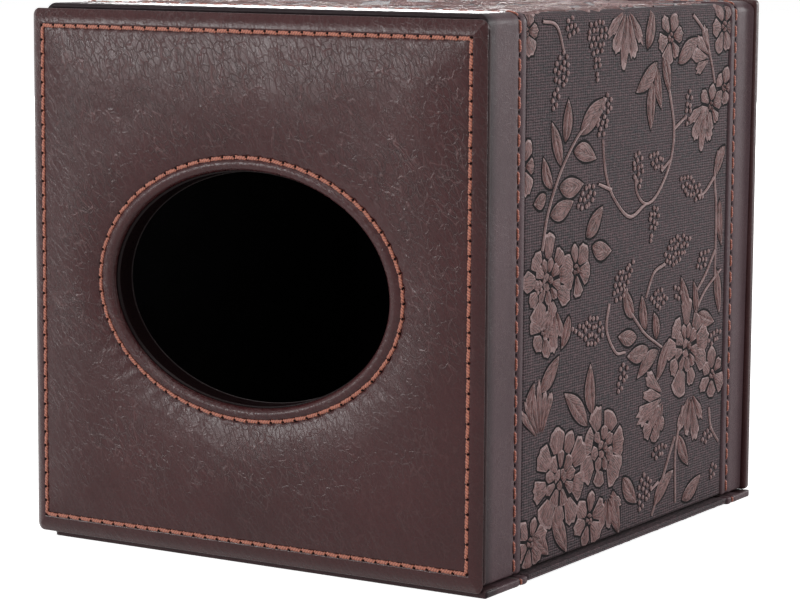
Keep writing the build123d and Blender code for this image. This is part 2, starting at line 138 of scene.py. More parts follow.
def lay_uv(mesh, uv):
    """Gives each point of a mesh its place on a flat pattern."""
    layer = mesh.uv_layers.new(name="pattern")
    loops = np.empty(len(mesh.loops), dtype=np.int32)
    mesh.loops.foreach_get("vertex_index", loops)
    layer.data.foreach_set("uv", np.asarray(uv, dtype=np.float32)[loops].ravel())


def make_mesh(name, verts, faces, materials, uv=None, kinds=None):
    """A mesh object from millimetre points; uv is given for each point and kinds for each face."""
    mesh = bpy.data.meshes.new(name)
    mesh.from_pydata((np.asarray(verts) * MM).tolist(), [], faces)
    if uv is not None:
        lay_uv(mesh, uv)
    for material in materials:
        mesh.materials.append(material)
    if kinds is not None:
        mesh.polygons.foreach_set("material_index", np.asarray(kinds, dtype=np.int32))
    mesh.polygons.foreach_set("use_smooth", np.full(len(mesh.polygons), True))
    mesh.validate()
    mesh.update()
    return put(name, mesh)


def grid_faces(rows, cols, closed=False):
    """Quads of a grid of points laid row by row; closed joins the last column to the first."""
    out = []
    for r in range(rows - 1):
        for c in range(cols if closed else cols - 1):
            a, b = r * cols + c, r * cols + (c + 1) % cols
            out.append((a, b, b + cols, a + cols))
    return out


def flipped(faces):
    return [face[::-1] for face in faces]


def tube_faces(rings, count):
    """Quads of closed rings of points, with the last ring joined to the first."""
    last = (rings - 1) * count
    seam = [(last + c, last + (c + 1) % count, (c + 1) % count, c) for c in range(count)]
    return grid_faces(rings, count, closed=True) + seam


class Parts:
    """Collects many small shapes into one mesh."""

    def __init__(self):
        self.verts, self.faces, self.kinds, self.uv, self.count = [], [], [], [], 0

    def add(self, verts, faces, kind, uv):
        self.faces += [tuple(i + self.count for i in face) for face in faces]
        self.verts.append(np.asarray(verts, dtype=float))
        self.uv.append(np.asarray(uv, dtype=float))
        self.kinds += [kind] * len(faces)
        self.count += len(verts)

    def points(self):
        return np.concatenate(self.verts), np.concatenate(self.uv)


# ==== the covering's line round the box ====
def arc_points(cx, cz, r, a0, a1, steps=ARC_STEPS):
    """Points of an arc from angle a0 to a1, with their outward normals."""
    a = np.radians(np.linspace(a0, a1, steps + 1))
    return np.stack([cx + r * np.cos(a), cz + r * np.sin(a), np.cos(a), np.sin(a)], 1)


def covering_line():
    """Points and outward normals: right foot, right wall, top, left wall, fold, underside, lip."""
    rows = [
        [[INNER_X, FOOT_Z, 0, -1]],
        arc_points(WALL_X - LIP_R, FOOT_Z + LIP_R, LIP_R, 270, 360),
        arc_points(WALL_X - CORNER_R, TOP_Z - CORNER_R, CORNER_R, 0, 90),
        arc_points(CORNER_R - WALL_X, TOP_Z - CORNER_R, CORNER_R, 90, 180),
        arc_points(FOLD_R - WALL_X, FOLD_R, FOLD_R, 180, 270, FOLD_STEPS),
        arc_points(LIP_X - LIP_R, LIP_R, LIP_R, 270, 360),
        arc_points(LIP_X - LIP_R, FLAP_TOP_Z - LIP_R, LIP_R, 0, 90),
        [[TURN_IN_X, FLAP_TOP_Z, 0, 1]],
    ]
    line = np.concatenate([np.asarray(r, dtype=float) for r in rows])
    steps = np.hypot(*np.diff(line[:, :2], axis=0).T)
    along = np.concatenate([[0], np.cumsum(steps)])
    level = np.interp(np.flatnonzero(line[:, 2] > 0.999)[0], np.arange(len(along)), along)
    return line, along - level + FOOT_Z + LIP_R


LINE, ALONG = covering_line()
# distances along the covering; on the right wall they equal the height
FOLD_ROW = 1 + 3 * (ARC_STEPS + 1)
FOOT_AT, FOLD_AT, UNDER_AT = ALONG[0], ALONG[FOLD_ROW], ALONG[FOLD_ROW + FOLD_STEPS]
LIP_AT, LIP_OVER_AT, END_AT = ALONG[-2 - ARC_STEPS], ALONG[-2], ALONG[-1]


def wrap(u, along, height):
    """From the flat covering to the box: u is Y, along runs round the box, height is outward."""
    x, z, nx, nz = (np.interp(along, ALONG, LINE[:, k]) for k in range(4))
    size = np.hypot(nx, nz)
    return np.stack([x + height * nx / size, np.broadcast_to(u, x.shape), z + height * nz / size], -1)


def along_samples(start, end, step):
    """Distances from start to end, with every bend's own points kept."""
    bends = [a for a in ALONG if start < a < end]
    even = np.linspace(start, end, max(2, int((end - start) / step)))
    return np.unique(np.round(np.concatenate([even, bends]), 4))


def make_strip(name, start, end, across, profile, under, step, materials):
    """A strip of covering; profile(across, along) is its outer height, and under is its closed back."""
    s = along_samples(start, end, step)
    uu, ss = np.meshgrid(across, s)
    outer = wrap(uu, ss, profile(uu, ss)).reshape(-1, 3)
    sides = [np.full(s.shape, edge) for edge in (across[0], across[-1])]
    low = [wrap(side, s, np.full(s.shape, under)) for side in sides]
    rows, cols = len(s), len(across)
    faces = grid_faces(rows, cols)
    first, second = rows * cols, rows * cols + rows
    for r in range(rows - 1):
        a, b = r * cols, (r + 1) * cols
        faces.append((a, b, first + r + 1, first + r))
        faces.append((b + cols - 1, a + cols - 1, second + r, second + r + 1))
        faces.append((first + r, first + r + 1, second + r + 1, second + r))
    faces.append((first, second, *reversed(range(cols))))
    faces.append((*range((rows - 1) * cols, rows * cols), second + rows - 1, second - 1))
    flat = [np.stack([uu.ravel(), ss.ravel()], 1), *(np.stack([side, s], 1) for side in sides)]
    return make_mesh(name, np.concatenate([outer, *low]), faces, materials, np.concatenate(flat))


# ==== materials ====
class Graph:
    """Builds a material's nodes; an input is a value or another node's output."""

    def __init__(self, name):
        self.mat = bpy.data.materials.new(name)
        self.mat.use_nodes = True
        self.tree = self.mat.node_tree
        self.bsdf = self.tree.nodes["Principled BSDF"]

    def feed(self, socket, value):
        if isinstance(value, bpy.types.NodeSocket):
            self.tree.links.new(value, socket)
        else:
            socket.default_value = value

    def node(self, kind, inputs, **settings):
        node = self.tree.nodes.new("ShaderNode" + kind)
        for key, value in settings.items():
            setattr(node, key, value)
        for key, value in inputs.items():
            self.feed(node.inputs[key], value)
        return node

    def vector(self, operation, a, b):
        return self.node("VectorMath", {0: a, 1: b}, operation=operation).outputs[0]

    def place(self, scale=(1, 1, 1), turn=(0, 0, 0), kind="Object"):
        """Coordinates in millimetres, turned and scaled."""
        unit = 1000 if kind == "Object" else 1
        scaled = self.vector("MULTIPLY", self.node("TexCoord", {}).outputs[kind], (unit, unit, unit))
        turned = self.node("Mapping", {"Vector": scaled, "Rotation": tuple(math.radians(a) for a in turn)})
        return self.vector("MULTIPLY", turned.outputs[0], scale)

    def noise(self, vector, scale, detail=2.0, rough=0.5, warp=0.0):
        inputs = {"Vector": vector, "Scale": scale, "Detail": detail, "Roughness": rough, "Distortion": warp}
        return self.node("TexNoise", inputs).outputs[0]

    def cells(self, vector, scale):
        """Distance to the nearest edge of a net of cells."""
        inputs = {"Vector": vector, "Scale": scale}
        return self.node("TexVoronoi", inputs, feature="DISTANCE_TO_EDGE").outputs[0]

    def math(self, operation, a, b=0.5):
        return self.node("Math", {0: a, 1: b}, operation=operation).outputs[0]

    def times(self, a, b):
        return self.math("MULTIPLY", a, b)

    def plus(self, a, b):
        return self.math("ADD", a, b)

    def most(self, a, b):
        return self.math("MAXIMUM", a, b)

    def weigh(self, *pairs):
        """A sum of values, each times its weight."""
        total, *rest = [self.times(value, weight) for value, weight in pairs]
        for term in rest:
            total = self.plus(total, term)
        return total

    def split(self, vector):
        return self.node("SeparateXYZ", {0: vector}).outputs

    def between(self, value, low, high, out_low=0.0, out_high=1.0):
        inputs = {"Value": value, "From Min": low, "From Max": high, "To Min": out_low, "To Max": out_high}
        return self.node("MapRange", inputs).outputs[0]

    def spread(self, value, low=0.0, high=1.0):
        """The usual range of a noise, as another range."""
        return self.between(value, 0.3, 0.7, low, high)

    def mix(self, share, a, b):
        """From colour a to b, each a display colour or another node's output."""
        a, b = (srgb(*colour) if isinstance(colour, tuple) else colour for colour in (a, b))
        return self.node("Mix", {0: share, 6: a, 7: b}, data_type="RGBA").outputs[2]

    def shift(self, vector, by, amount):
        """Moves coordinates by a noise, for wandering lines."""
        colour = self.node("TexNoise", {"Vector": vector, "Scale": by, "Detail": 2.0}).outputs[1]
        offset = self.vector("SUBTRACT", colour, (0.5, 0.5, 0.5))
        grown = self.node("VectorMath", {0: offset, "Scale": amount}, operation="SCALE")
        return self.vector("ADD", vector, grown.outputs[0])

    def bump(self, height, depth):
        inputs = {"Height": height, "Distance": depth * MM, "Strength": 1.0}
        return self.node("Bump", inputs).outputs[0]

    def finish(self, colour, roughness, normal, **constants):
        self.feed(self.bsdf.inputs["Base Color"], colour)
        self.feed(self.bsdf.inputs["Roughness"], roughness)
        if normal is not None:
            self.feed(self.bsdf.inputs["Normal"], normal)
        for key, value in constants.items():
            self.bsdf.inputs[key.replace("_", " ")].default_value = value
        return self.mat


def crease_net(g, turn):
    """Slanted creases that cross in a net: its cells, the broken lines, and where painted shade lies along
    their furrows.
    """
    drift = g.shift(g.place(turn=turn), 0.16, 2.6)
    long_cells = g.shift(g.vector("MULTIPLY", drift, (0.20, 1.0, 1.0)), 1.3, 0.30)
    net_cells = g.shift(g.vector("MULTIPLY", drift, (0.42, 1.0, 1.0)), 1.5, 0.20)
    long_line = g.between(g.cells(long_cells, 0.48), 0.0, 0.040, 1.0, 0.0)
    net = g.cells(net_cells, 0.80)
    net_line = g.between(net, 0.0, 0.050, 1.0, 0.0)
    fine_line = g.between(g.cells(net_cells, 2.9), 0.0, 0.13, 0.15, 0.0)
    broken = g.between(g.noise(drift, 0.22, 4.0), 0.34, 0.56, 0.50, 1.0)
    lines = g.most(g.times(g.most(long_line, net_line), broken), fine_line)
    return net_cells, lines, g.times(g.between(net, 0.04, 0.17, 0.8, 0.0), broken)


def leather(name, colour, deep, turn, crease, rough, shine, weighted=False, painted_shadow_span=None):
    """Grained leather: creases with painted highlights on them and, where they are deep, painted shade in
    their furrows, a fine pebble and slow colour changes.

    crease is how deep the creases are, weighted takes a share of them from the first flat
    coordinate, and the last argument gives the two places across a band where a painted shadow of the front
    plate is darkest and where it has faded out.
    """
    g = Graph(name)
    plain = g.place()
    net_cells, lines, furrow_shade = crease_net(g, turn)
    patches = g.between(g.noise(plain, 0.08, 3.0), 0.36, 0.60, 0.40, 1.0)
    if weighted:
        patches = g.times(patches, g.split(g.place(kind="UV"))[0])
    creases = g.times(lines, patches)
    pebble = g.between(g.cells(g.shift(plain, 1.2, 0.4), 2.4), 0.0, 0.30)
    pores = g.noise(plain, 3.0, 3.0, 0.6)
    shade = g.mix(g.spread(g.noise(plain, 0.045, 4.0, 0.6)), colour, deep)
    # painted shade: darker colour in the furrows beside deep creases
    if crease > 0.5:
        shade = g.mix(g.times(furrow_shade, patches), shade, (30, 14, 15))
    # painted highlight: a pale colour along the creases stands in for glints on their ridges
    shade = g.mix(g.times(creases, 0.40 * crease), shade, (134, 104, 103))
    shade = g.mix(g.between(pebble, 0.0, 0.5, 0.3, 0.0), shade, (20, 10, 11))
    # painted shadow of the front plate on the band, darkest at the first place and gone by the second
    if painted_shadow_span is not None:
        across = g.split(g.place(kind="UV"))[0]
        shade = g.mix(g.between(across, *painted_shadow_span, 0.85, 0.0), shade, (24, 18, 20))
    swell = g.noise(net_cells, 0.7, 3.0, 0.55)
    height = g.weigh((pebble, 0.10), (pores, 0.08), (creases, crease), (swell, 0.7 * crease))
    gloss = g.spread(g.noise(plain, 0.6, 3.0), rough - 0.04, rough + 0.06)
    return g.finish(shade, gloss, g.bump(height, 0.10), Specular_IOR_Level=shine)


def ground_cloth(name):
    """Woven ground: fine ribs across, a warp that breaks them into grains, and streaks of a redder yarn."""
    rib_pitch, warp_pitch = 0.66, 1.1
    g = Graph(name)
    flat = g.place(kind="UV")
    parts = g.split(flat)
    drift = g.times(g.noise(flat, 0.7, 2.0), 4.0)
    rib = g.math("SINE", g.plus(g.times(parts[1], 2 * math.pi / rib_pitch), drift))
    warp = g.math("SINE", g.weigh((parts[0], 2 * math.pi / warp_pitch), (drift, 2.0)))
    woven = g.weigh((rib, 0.66), (warp, 0.34))
    fuzz = g.noise(g.place(scale=(0.45, 1.0, 1.0), kind="UV"), 1.25, 3.0, 0.65)
    low = g.mix(g.between(g.noise(flat, 0.12, 3.0), 0.35, 0.65), (48, 41, 45), (64, 49, 53))
    yarn = g.mix(g.between(fuzz, 0.44, 0.62, 0.0, 0.75), low, (102, 81, 85))
    colour = g.mix(g.between(woven, -0.75, 0.35, 0.80, 0.0), yarn, (12, 9, 11))
    bump = g.bump(g.weigh((woven, 0.7), (fuzz, 1.0)), 0.11)
    sheen = {"Sheen_Weight": 0.02, "Sheen_Roughness": 0.5}
    return g.finish(colour, g.spread(fuzz, 0.55, 0.75), bump, Specular_IOR_Level=0.08, **sheen)


def raised_cloth(name, light, low, strokes):
    """Satin figure: dark and reddish hatching along each petal, on a fine weave."""
    g = Graph(name)
    plain = g.place()
    bent = g.shift(g.place(kind="UV"), 0.5, 0.8)
    stroke = g.noise(g.place(scale=(2.2, 0.5, 1.0), kind="UV"), 1.0, 2.0, 0.5, 0.5)
    fine = g.math("SINE", g.times(g.split(bent)[0], 2 * math.pi / 0.72))
    where = g.between(g.noise(plain, 0.35, 2.0), 0.40, 0.60, 0.35, 1.0)
    lines = g.times(g.between(stroke, 0.52, 0.60), where)
    hatch = g.times(g.between(fine, 0.1, 0.8, 0.0, 0.8), g.between(stroke, 0.40, 0.52))
    marks = g.times(g.most(lines, hatch), strokes)
    tone = g.mix(g.spread(g.noise(plain, 0.35, 3.0)), light, low)
    weave = g.noise(plain, 2.4, 3.0, 0.7)
    specks = g.between(weave, 0.46, 0.62, 0.0, 0.55)
    colour = g.mix(specks, g.mix(marks, tone, (46, 30, 30)), (104, 58, 48))
    bump = g.bump(g.math("SUBTRACT", g.times(weave, 0.8), marks), 0.14)
    return g.finish(colour, g.spread(weave, 0.5, 0.65), bump, Specular_IOR_Level=0.2, Sheen_Weight=0.02)


def dark_grain(name, scale, detail, colours, rough, depth):
    """A dark matt ground with a fine grain."""
    g = Graph(name)
    grain = g.noise(g.place(), scale, detail)
    gloss = g.spread(grain, *rough) if isinstance(rough, tuple) else rough
    return g.finish(g.mix(grain, *colours), gloss, g.bump(grain, depth), Specular_IOR_Level=0.05)


def sewing_thread(name, colour, dark):
    """Twisted thread: strands slant across each stitch, lighter on their backs."""
    g = Graph(name)
    parts = g.split(g.place(kind="UV"))
    turn = g.weigh((parts[0], 4 * math.pi), (parts[1], 34.0))
    strand = g.between(g.math("SINE", turn), -1, 1)
    fuzz = g.noise(g.place(), 9.0, 2.0)
    shade = g.mix(g.between(strand, 0.0, 0.6), dark, colour)
    lit = g.mix(g.between(fuzz, 0.35, 0.7, 0.0, 0.3), shade, dark)
    height = g.plus(strand, g.times(fuzz, 0.4))
    return g.finish(lit, g.spread(fuzz, 0.5, 0.7), g.bump(height, 0.05), Sheen_Weight=0.2)


def felt(name):
    """Black flocked lining."""
    g = Graph(name)
    plain = g.place()
    nap = g.noise(plain, 3.0, 4.0, 0.7)
    colour = g.mix(g.spread(g.noise(plain, 0.08, 2.0)), (17, 16, 18), (25, 23, 26))
    return g.finish(colour, g.spread(nap, 0.85, 0.97), g.bump(nap, 0.25), Specular_IOR_Level=0.2)


def grey_board(name):
    """Pressed grey board, with flecks and a faint fibre direction."""
    g = Graph(name)
    fibre = g.noise(g.place(scale=(1, 0.15, 1)), 1.6, 4.0)
    fleck = g.between(g.noise(g.place(), 2.4, 2.0), 0.62, 0.7)
    colour = g.mix(fibre, (76, 72, 68), (96, 91, 86))
    colour = g.mix(g.times(fleck, 0.5), colour, (58, 54, 52))
    return g.finish(colour, g.spread(fibre, 0.8, 0.92), g.bump(fibre, 0.06))


def dark_wood(name):
    """Stained batten, with long grain."""
    g = Graph(name)
    grain = g.noise(g.place(scale=(1, 0.06, 1)), 1.8, 5.0, 0.6, 0.6)
    colour = g.mix(g.between(grain, 0.35, 0.65), (40, 29, 24), (66, 48, 38))
    return g.finish(colour, g.spread(grain, 0.5, 0.65), g.bump(grain, 0.08))


def plated_steel(name):
    """Brushed plating, with fine scratches."""
    g = Graph(name)
    brushed = g.noise(g.place(scale=(1, 0.05, 1)), 7.0, 3.0)
    colour = g.mix(brushed, (176, 178, 182), (204, 205, 208))
    return g.finish(colour, g.spread(brushed, 0.25, 0.42), g.bump(brushed, 0.02), Metallic=1.0)


def liner(name, pale):
    """The dark, smooth lining of the mouth; pale is how strong the flecks of dust on it are."""
    g = Graph(name)
    plain = g.place()
    grain = g.noise(plain, 2.0, 3.0)
    fleck = g.between(g.noise(plain, 2.6, 3.0, 0.7), 0.60, 0.70, 0.0, pale)
    colour = g.mix(fleck, g.mix(grain, (15, 9, 10), (25, 14, 15)), (112, 102, 100))
    return g.finish(colour, g.spread(grain, 0.26, 0.36), g.bump(grain, 0.02), Specular_IOR_Level=0.07)


def make_materials():
    """Every finish by a short name."""
    leathers = {
        # colour, deeper colour, turn of the creases, their depth, roughness, shine, whether the creases are
        # weighted, and the span of the band's painted shadow
        "plate": ((61, 28, 29), (53, 24, 25), (0, -55, 0), 1.0, 0.27, 0.20, True),
        "plate_edge": ((50, 34, 36), (40, 26, 28), (0, -50, 0), 0.2, 0.45, 0.05),
        "band": ((84, 66, 70), (72, 55, 59), (-30, 0, 0), 0.30, 0.40, 0.06, False, (-66.6, -63.0)),
        "lip": ((56, 38, 40), (46, 30, 32), (0, -50, 0), 0.2, 0.40, 0.12),
        "back": ((62, 35, 36), (54, 29, 30), (0, -30, 0), 0.25, 0.36, 0.14),
    }
    return {
        **{key: leather(f"{key}_leather", *values) for key, values in leathers.items()},
        "liner": liner("mouth_liner", 0.0),
        "liner_back": liner("mouth_liner_edge", 0.5),
        "ground": ground_cloth("ground_cloth"),
        "raised": raised_cloth("raised_cloth", (122, 89, 88), (91, 63, 63), 1.0),
        # lighter cloth: the pale stems and seeds, and a painted highlight on the rim faces of leaves and
        # petals
        "pale_and_rim_highlight": raised_cloth("pale_and_rim_highlight_cloth", (158, 134, 133), (130, 106, 106), 0.3),
        # near-black cloth: painted shade round and under the raised figure
        "shade_patches": dark_grain("painted_shade_cloth", 5.0, 3.0, ((12, 10, 12), (30, 26, 28)), (0.7, 0.85), 0.06),
        "thread": sewing_thread("sewing_thread", (166, 98, 74), (106, 50, 38)),
        "band_thread": sewing_thread("band_thread", (164, 84, 60), (96, 42, 30)),
        # near black: painted shade for needle holes and for the groove under the front leather's cut edge
        "hole": dark_grain("painted_hole_shade", 6.0, 2.0, ((14, 8, 9), (30, 18, 19)), 0.85, 0.05),
        "felt": felt("black_felt"),
        "board": grey_board("grey_board"),
        "wood": dark_wood("dark_wood"),
        "steel": plated_steel("plated_steel"),
    }


MATERIALS = make_materials()


# ==== front plate ====
def rounded_ring(half, corner, side_steps, corner_steps):
    """Points round a rounded square, anticlockwise from the right side's lower end."""
    corner = max(corner, 0.05)
    flat = half - corner
    side = np.linspace(-flat, flat, side_steps, endpoint=False)
    out = []
    for turn, (cx, cz) in enumerate(((1, 1), (-1, 1), (-1, -1), (1, -1))):
        nx, nz = ((1, 0), (0, 1), (-1, 0), (0, -1))[turn]
        out.append(np.stack([nx * half - nz * side, nz * half + nx * side], 1))
        a = np.radians(90 * turn + np.linspace(0, 90, corner_steps, endpoint=False))
        out.append(np.stack([cx * flat + corner * np.cos(a), cz * flat + corner * np.sin(a)], 1))
    return np.concatenate(out)


def at_y(ring, y):
    """A flat ring of x and z at a Y."""
    return np.column_stack([ring, np.broadcast_to(y, len(ring))])


def upright(points, mid_z):
    """From x, height above the plate's middle and Y, to the box's own directions."""
    return np.stack([points[:, 0], points[:, 2], points[:, 1] + mid_z], 1)


def overhang(v, low, high):
    """How far the front leather's cut edge stands past the plate's own edge, at each end of v."""
    at_high, at_low = (unit((end - OVER_FROM) / OVER_RUN) for end in (v, -v))
    return high * at_high - low * at_low


def ellipse_ring(angle, a, b):
    return np.stack([a * np.cos(angle), b * np.sin(angle)], 1)


def oval_lengths(angle, a, b):
    """How far round an oval each angle is, as a share of the whole."""
    t = np.linspace(0, 2 * math.pi, OVAL_SAMPLES)
    steps = np.hypot(*np.diff(ellipse_ring(t, a, b), axis=0).T)
    total = np.concatenate([[0], np.cumsum(steps)])
    return np.interp(np.mod(angle, 2 * math.pi), t, total / total[-1])


def edge_distance(x, z):
    """Distance inside the plate's rounded outline."""
    reach = PLATE_HALF - PLATE_CORNER
    qx, qz = np.abs(x) - reach, np.abs(z) - reach
    outside = np.hypot(np.maximum(qx, 0), np.maximum(qz, 0)) + np.minimum(np.maximum(qx, qz), 0)
    return PLATE_CORNER - outside


def oval_distance(x, z):
    """Distance outside the oval stitch line."""
    f = np.sqrt((x / STITCH_A) ** 2 + (z / STITCH_B) ** 2)
    slope = np.hypot(x / STITCH_A**2, z / STITCH_B**2) / f
    return (f - 1) / slope


def bell(d, width):
    return np.exp(-((d / width) ** 2))


def border_wave(x, z):
    """1 at the border's needle holes and -1 in the middle of its stitches."""
    run = np.where(np.abs(x) > np.abs(z), z, x)
    return np.cos(math.pi * BORDER_STITCHES * (run + BORDER_REACH) / BORDER_REACH)


def oval_wave(angle):
    """1 at the oval's needle holes and -1 in the middle of its stitches."""
    return np.cos(2 * math.pi * OVAL_STITCHES * oval_lengths(angle, STITCH_A, STITCH_B))


def wander(x, z, scale, seed):
    """Smooth noise at many points."""
    values = [noise.noise((a * scale, b * scale, seed)) for a, b in zip(x.ravel(), z.ravel())]
    return np.array(values).reshape(x.shape)


def pad_height(x, z):
    """How far the padded leather stands in front of the stitch plane."""
    edge, oval = edge_distance(x, z) - BORDER_MARGIN, oval_distance(x, z)
    across, along = (1 - (1 - unit((BORDER_REACH - np.abs(v)) / PAD_SLOPE)) ** 2.2 for v in (x, z))
    from_oval = 1 - (1 - unit(oval / DISH_SLOPE)) ** 2.3
    rise = PAD_RISE * (across * along) * from_oval
    # both seams draw the leather down, most at their holes, and pull waves into it beside them
    angle = np.arctan2(z / STITCH_B, x / STITCH_A)
    at_border, at_oval = border_wave(x, z), oval_wave(angle)
    rise -= 0.22 * bell(edge, 0.55) * (1 + 0.45 * at_border)
    rise -= 0.05 * np.exp(-np.maximum(edge, 0) / 1.6) * at_border * (edge > 0)
    rise -= 0.25 * bell(oval, 0.6) * (1 + 0.45 * at_oval)
    rise -= 0.06 * np.exp(-np.maximum(oval, 0) / 2.2) * at_oval
    # away from the seams it is uneven: slow swells, then slanted folds
    inside = unit(edge / 6) * unit(oval / 5)
    rise += inside * 0.16 * wander(x, z, 0.06, 3.1)
    slant_x, slant_z = 0.77 * x - 0.64 * z, 0.64 * x + 0.77 * z
    folds = 1 - 2 * np.abs(wander(slant_x * 0.32, slant_z, 0.27, 7.7))
    rise += inside * 0.07 * folds
    # short pleats run out from the oval
    drag = wander(18 * np.cos(angle), 18 * np.sin(angle), 1.0, 1.9)
    rise += 0.10 * drag * np.exp(-np.maximum(oval - 0.6, 0) / 3.0) * unit(oval)
    return rise


def rim_profile():
    """The rolled border from the back of the plate to the stitch line: inset and Y."""
    back = PLATE_REAR_Y + 0.05
    rows = [(2.1, back), (0.95, back), (0.72, back - 0.12), (0.66, back - 0.5)]
    rows += [(0.66, -69.75), (0.76, -69.9), (0.77, -70.2)]
    # the front leather's cut edge stands a little proud of the turned-in layer below it
    rows += [(0.56, -70.24), (0.48, -70.32), (0.46, -70.42), (0.50, -70.54), (0.62, -70.68)]
    for share in np.linspace(0.0, 1.0, 15)[6:]:
        a = math.radians(90 * share)
        inset = RIM_WIDTH * (1 - math.cos(a) ** (2 / RIM_POWER))
        drop = RIM_DROP * (1 - math.sin(a) ** (2 / RIM_POWER))
        rows.append((inset, STITCH_Y - 0.12 + drop))
    return rows


def crease_share(x, z):
    """How creased the leather is, which also sets how strong the painted highlights on its creases are: calm
    beside the mouth and at the foot, drawn elsewhere.
    """
    oval, edge = oval_distance(x, z), edge_distance(x, z)
    upper = 1 / (1 + np.exp(-(z + 14) / 8))
    calm = np.clip((oval - 0.5) / 5.0, 0.25 + 0.5 * (z < 0), 1) * np.clip((edge - 3.0) / 4.0, 0.35, 1)
    below = 0.75 * bell(z + 38, 9) * bell(x + 8, 36)
    left = 0.25 * bell(x + 55, 22)
    return unit(0.10 + calm * (0.20 + 0.62 * upper + below + left * upper))


def make_front_leather():
    """Padded leather over the front plate, from behind its edge to the oval stitches."""
    steps = (300, 12)  # along each side and round each corner
    outer = rounded_ring(PLATE_HALF, PLATE_CORNER, *steps)
    angle = np.arctan2(outer[:, 1], outer[:, 0])
    rings = []
    for inset, y in rim_profile():
        rings.append(at_y(rounded_ring(PLATE_HALF - inset, PLATE_CORNER - inset, *steps), y))
    start = rounded_ring(PLATE_HALF - PAD_INSET, 0.5, *steps)
    end = ellipse_ring(angle, STITCH_A, STITCH_B)
    # rings lie closer together at both seams
    even = np.linspace(0, 1, 105)
    for share in even - 0.075 * np.sin(4 * math.pi * even) / 2 - 0.055 * np.sin(2 * math.pi * even):
        ring = start + (end - start) * share
        rings.append(at_y(ring, STITCH_Y - pad_height(ring[:, 0], ring[:, 1])))
    rings.append(at_y(ellipse_ring(angle, STITCH_A - 0.3, STITCH_B - 0.3), STITCH_Y + 0.75))
    points = np.concatenate(rings)
    creased = crease_share(points[:, 0], points[:, 1])
    rolled = points[:, 2] < OVER_Y
    wide = points[:, 0] + rolled * overhang(points[:, 0], OVER_LEFT, 0.0)
    tall = points[:, 1] + rolled * overhang(points[:, 1], OVER_BOTTOM, OVER_TOP)
    verts = upright(np.stack([wide, tall, points[:, 2]], 1), PLATE_MID_Z)
    count = len(outer)
    faces = tube_faces(len(rings), count)
    # side rows take the edge leather; groove rows take the hole finish, a painted shadow under the cut edge
    kinds = [1 if n < SIDE_ROWS * count else 2 if n < GROOVE_ROWS * count else 0 for n in range(len(faces))]
    finishes = [MATERIALS[key] for key in ("plate", "plate_edge", "hole")]
    obj = make_mesh("front_leather", verts, faces, finishes, np.stack([creased, creased], 1), kinds)
    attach(obj, "case")
    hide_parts("front_skin", "front_foam")


def make_mouth_rim():
    """The rolled leather rim of the mouth and the tube that lines it."""
    steps = 960
    angle = circle(steps)
    outer, inner = ellipse_ring(angle, STITCH_A, STITCH_B), ellipse_ring(angle, HOLE_A, HOLE_B)
    wave = oval_wave(angle)
    crinkle = wander(9 * np.cos(angle), 9 * np.sin(angle), 1.0, 4.4)
    fine = wander(40 * np.cos(angle), 40 * np.sin(angle), 1.0, 8.2)
    # share of the way from the stitches to the hole, and distance behind the stitch plane
    bead = [(-0.03, 0.65), (0.0, 0.32), (0.06, 0.1), (0.12, -0.12), (0.2, -0.36), (0.3, -0.54), (0.42, -0.62)]
    bead += [(0.54, -0.6), (0.64, -0.48), (0.73, -0.26), (0.80, 0.04), (0.85, 0.45), (0.875, 0.95)]
    tube = [(0.875, 1.35), (0.84, 1.6), (0.93, 1.68), (0.965, 1.74), (0.985, 1.84), (0.99, 2.0)]
    tube += [(0.985, 3.6), (0.98, 5.0), (0.99, 6.1), (1.0, 6.45)]
    flange = [(1.02, 6.5), (1.05, 6.5), (1.06, 6.56)]
    rings = []
    for share, back in bead + tube + flange:
        ease, on_bead = bell(share - 0.05, 0.13), bell(share - 0.5, 0.4)
        y = STITCH_Y + back + 0.10 * ease * wave + on_bead * (0.05 * crinkle + 0.04 * fine)
        rings.append(at_y(outer + (inner - outer) * share, y))
    # the hidden side runs back to the start, through the board's own opening
    for share, back in ((1.05, 6.62), (0.86, 6.4), (0.80, 1.5), (0.3, 1.0), (-0.03, 0.9)):
        rings.append(at_y(outer + (inner - outer) * share, STITCH_Y + back))
    points = np.concatenate(rings)
    faces = tube_faces(len(rings), steps)
    dark, pale = len(bead) - 1, len(bead) + len(tube) - 1
    kinds = [0 if n < dark * steps else 1 if n < pale * steps else 2 for n in range(len(faces))]
    finishes = [MATERIALS[key] for key in ("plate", "liner", "liner_back")]
    # the creases, and the painted highlights on them, are strongest on the rim's lower left
    share = 0.35 + 0.3 * bell(np.degrees(np.arctan2(points[:, 1], points[:, 0])) + 125, 60)
    uv = np.stack([share, share], 1)
    obj = make_mesh("mouth_rim", upright(points, PLATE_MID_Z), faces, finishes, uv, kinds)
    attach(obj, "case")
    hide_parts("oval_rim")


# ==== stitches ====
def stitch_shape(length, width, height, dip=0.75):
    """One stitch: a twisted two-strand bar that arches out of one hole and into the next."""
    rows, cols = 13, 8
    t = np.linspace(-1, 1, rows)
    around = circle(cols)
    tt, aa = np.meshgrid(t, around, indexing="ij")
    swell = 1 + 0.16 * np.cos(2 * (aa - 4.0 * tt))
    taper = np.sqrt(np.clip(1 - np.abs(tt) ** 7, 0.02, 1))
    side = 0.5 * width * np.cos(aa) * swell * taper
    arch = 0.25 * height * (1 - np.abs(tt) ** 3)
    up = 0.5 * height * np.sin(aa) * swell * taper + arch - dip * height * np.abs(tt) ** 8
    verts = np.stack([0.5 * length * tt, side, up], -1).reshape(-1, 3)
    faces = grid_faces(rows, cols, closed=True)
    faces += [tuple(reversed(range(cols))), tuple(range((rows - 1) * cols, rows * cols))]
    uv = np.stack([aa / (2 * math.pi), 0.5 * tt], -1).reshape(-1, 2)
    return verts, faces, uv


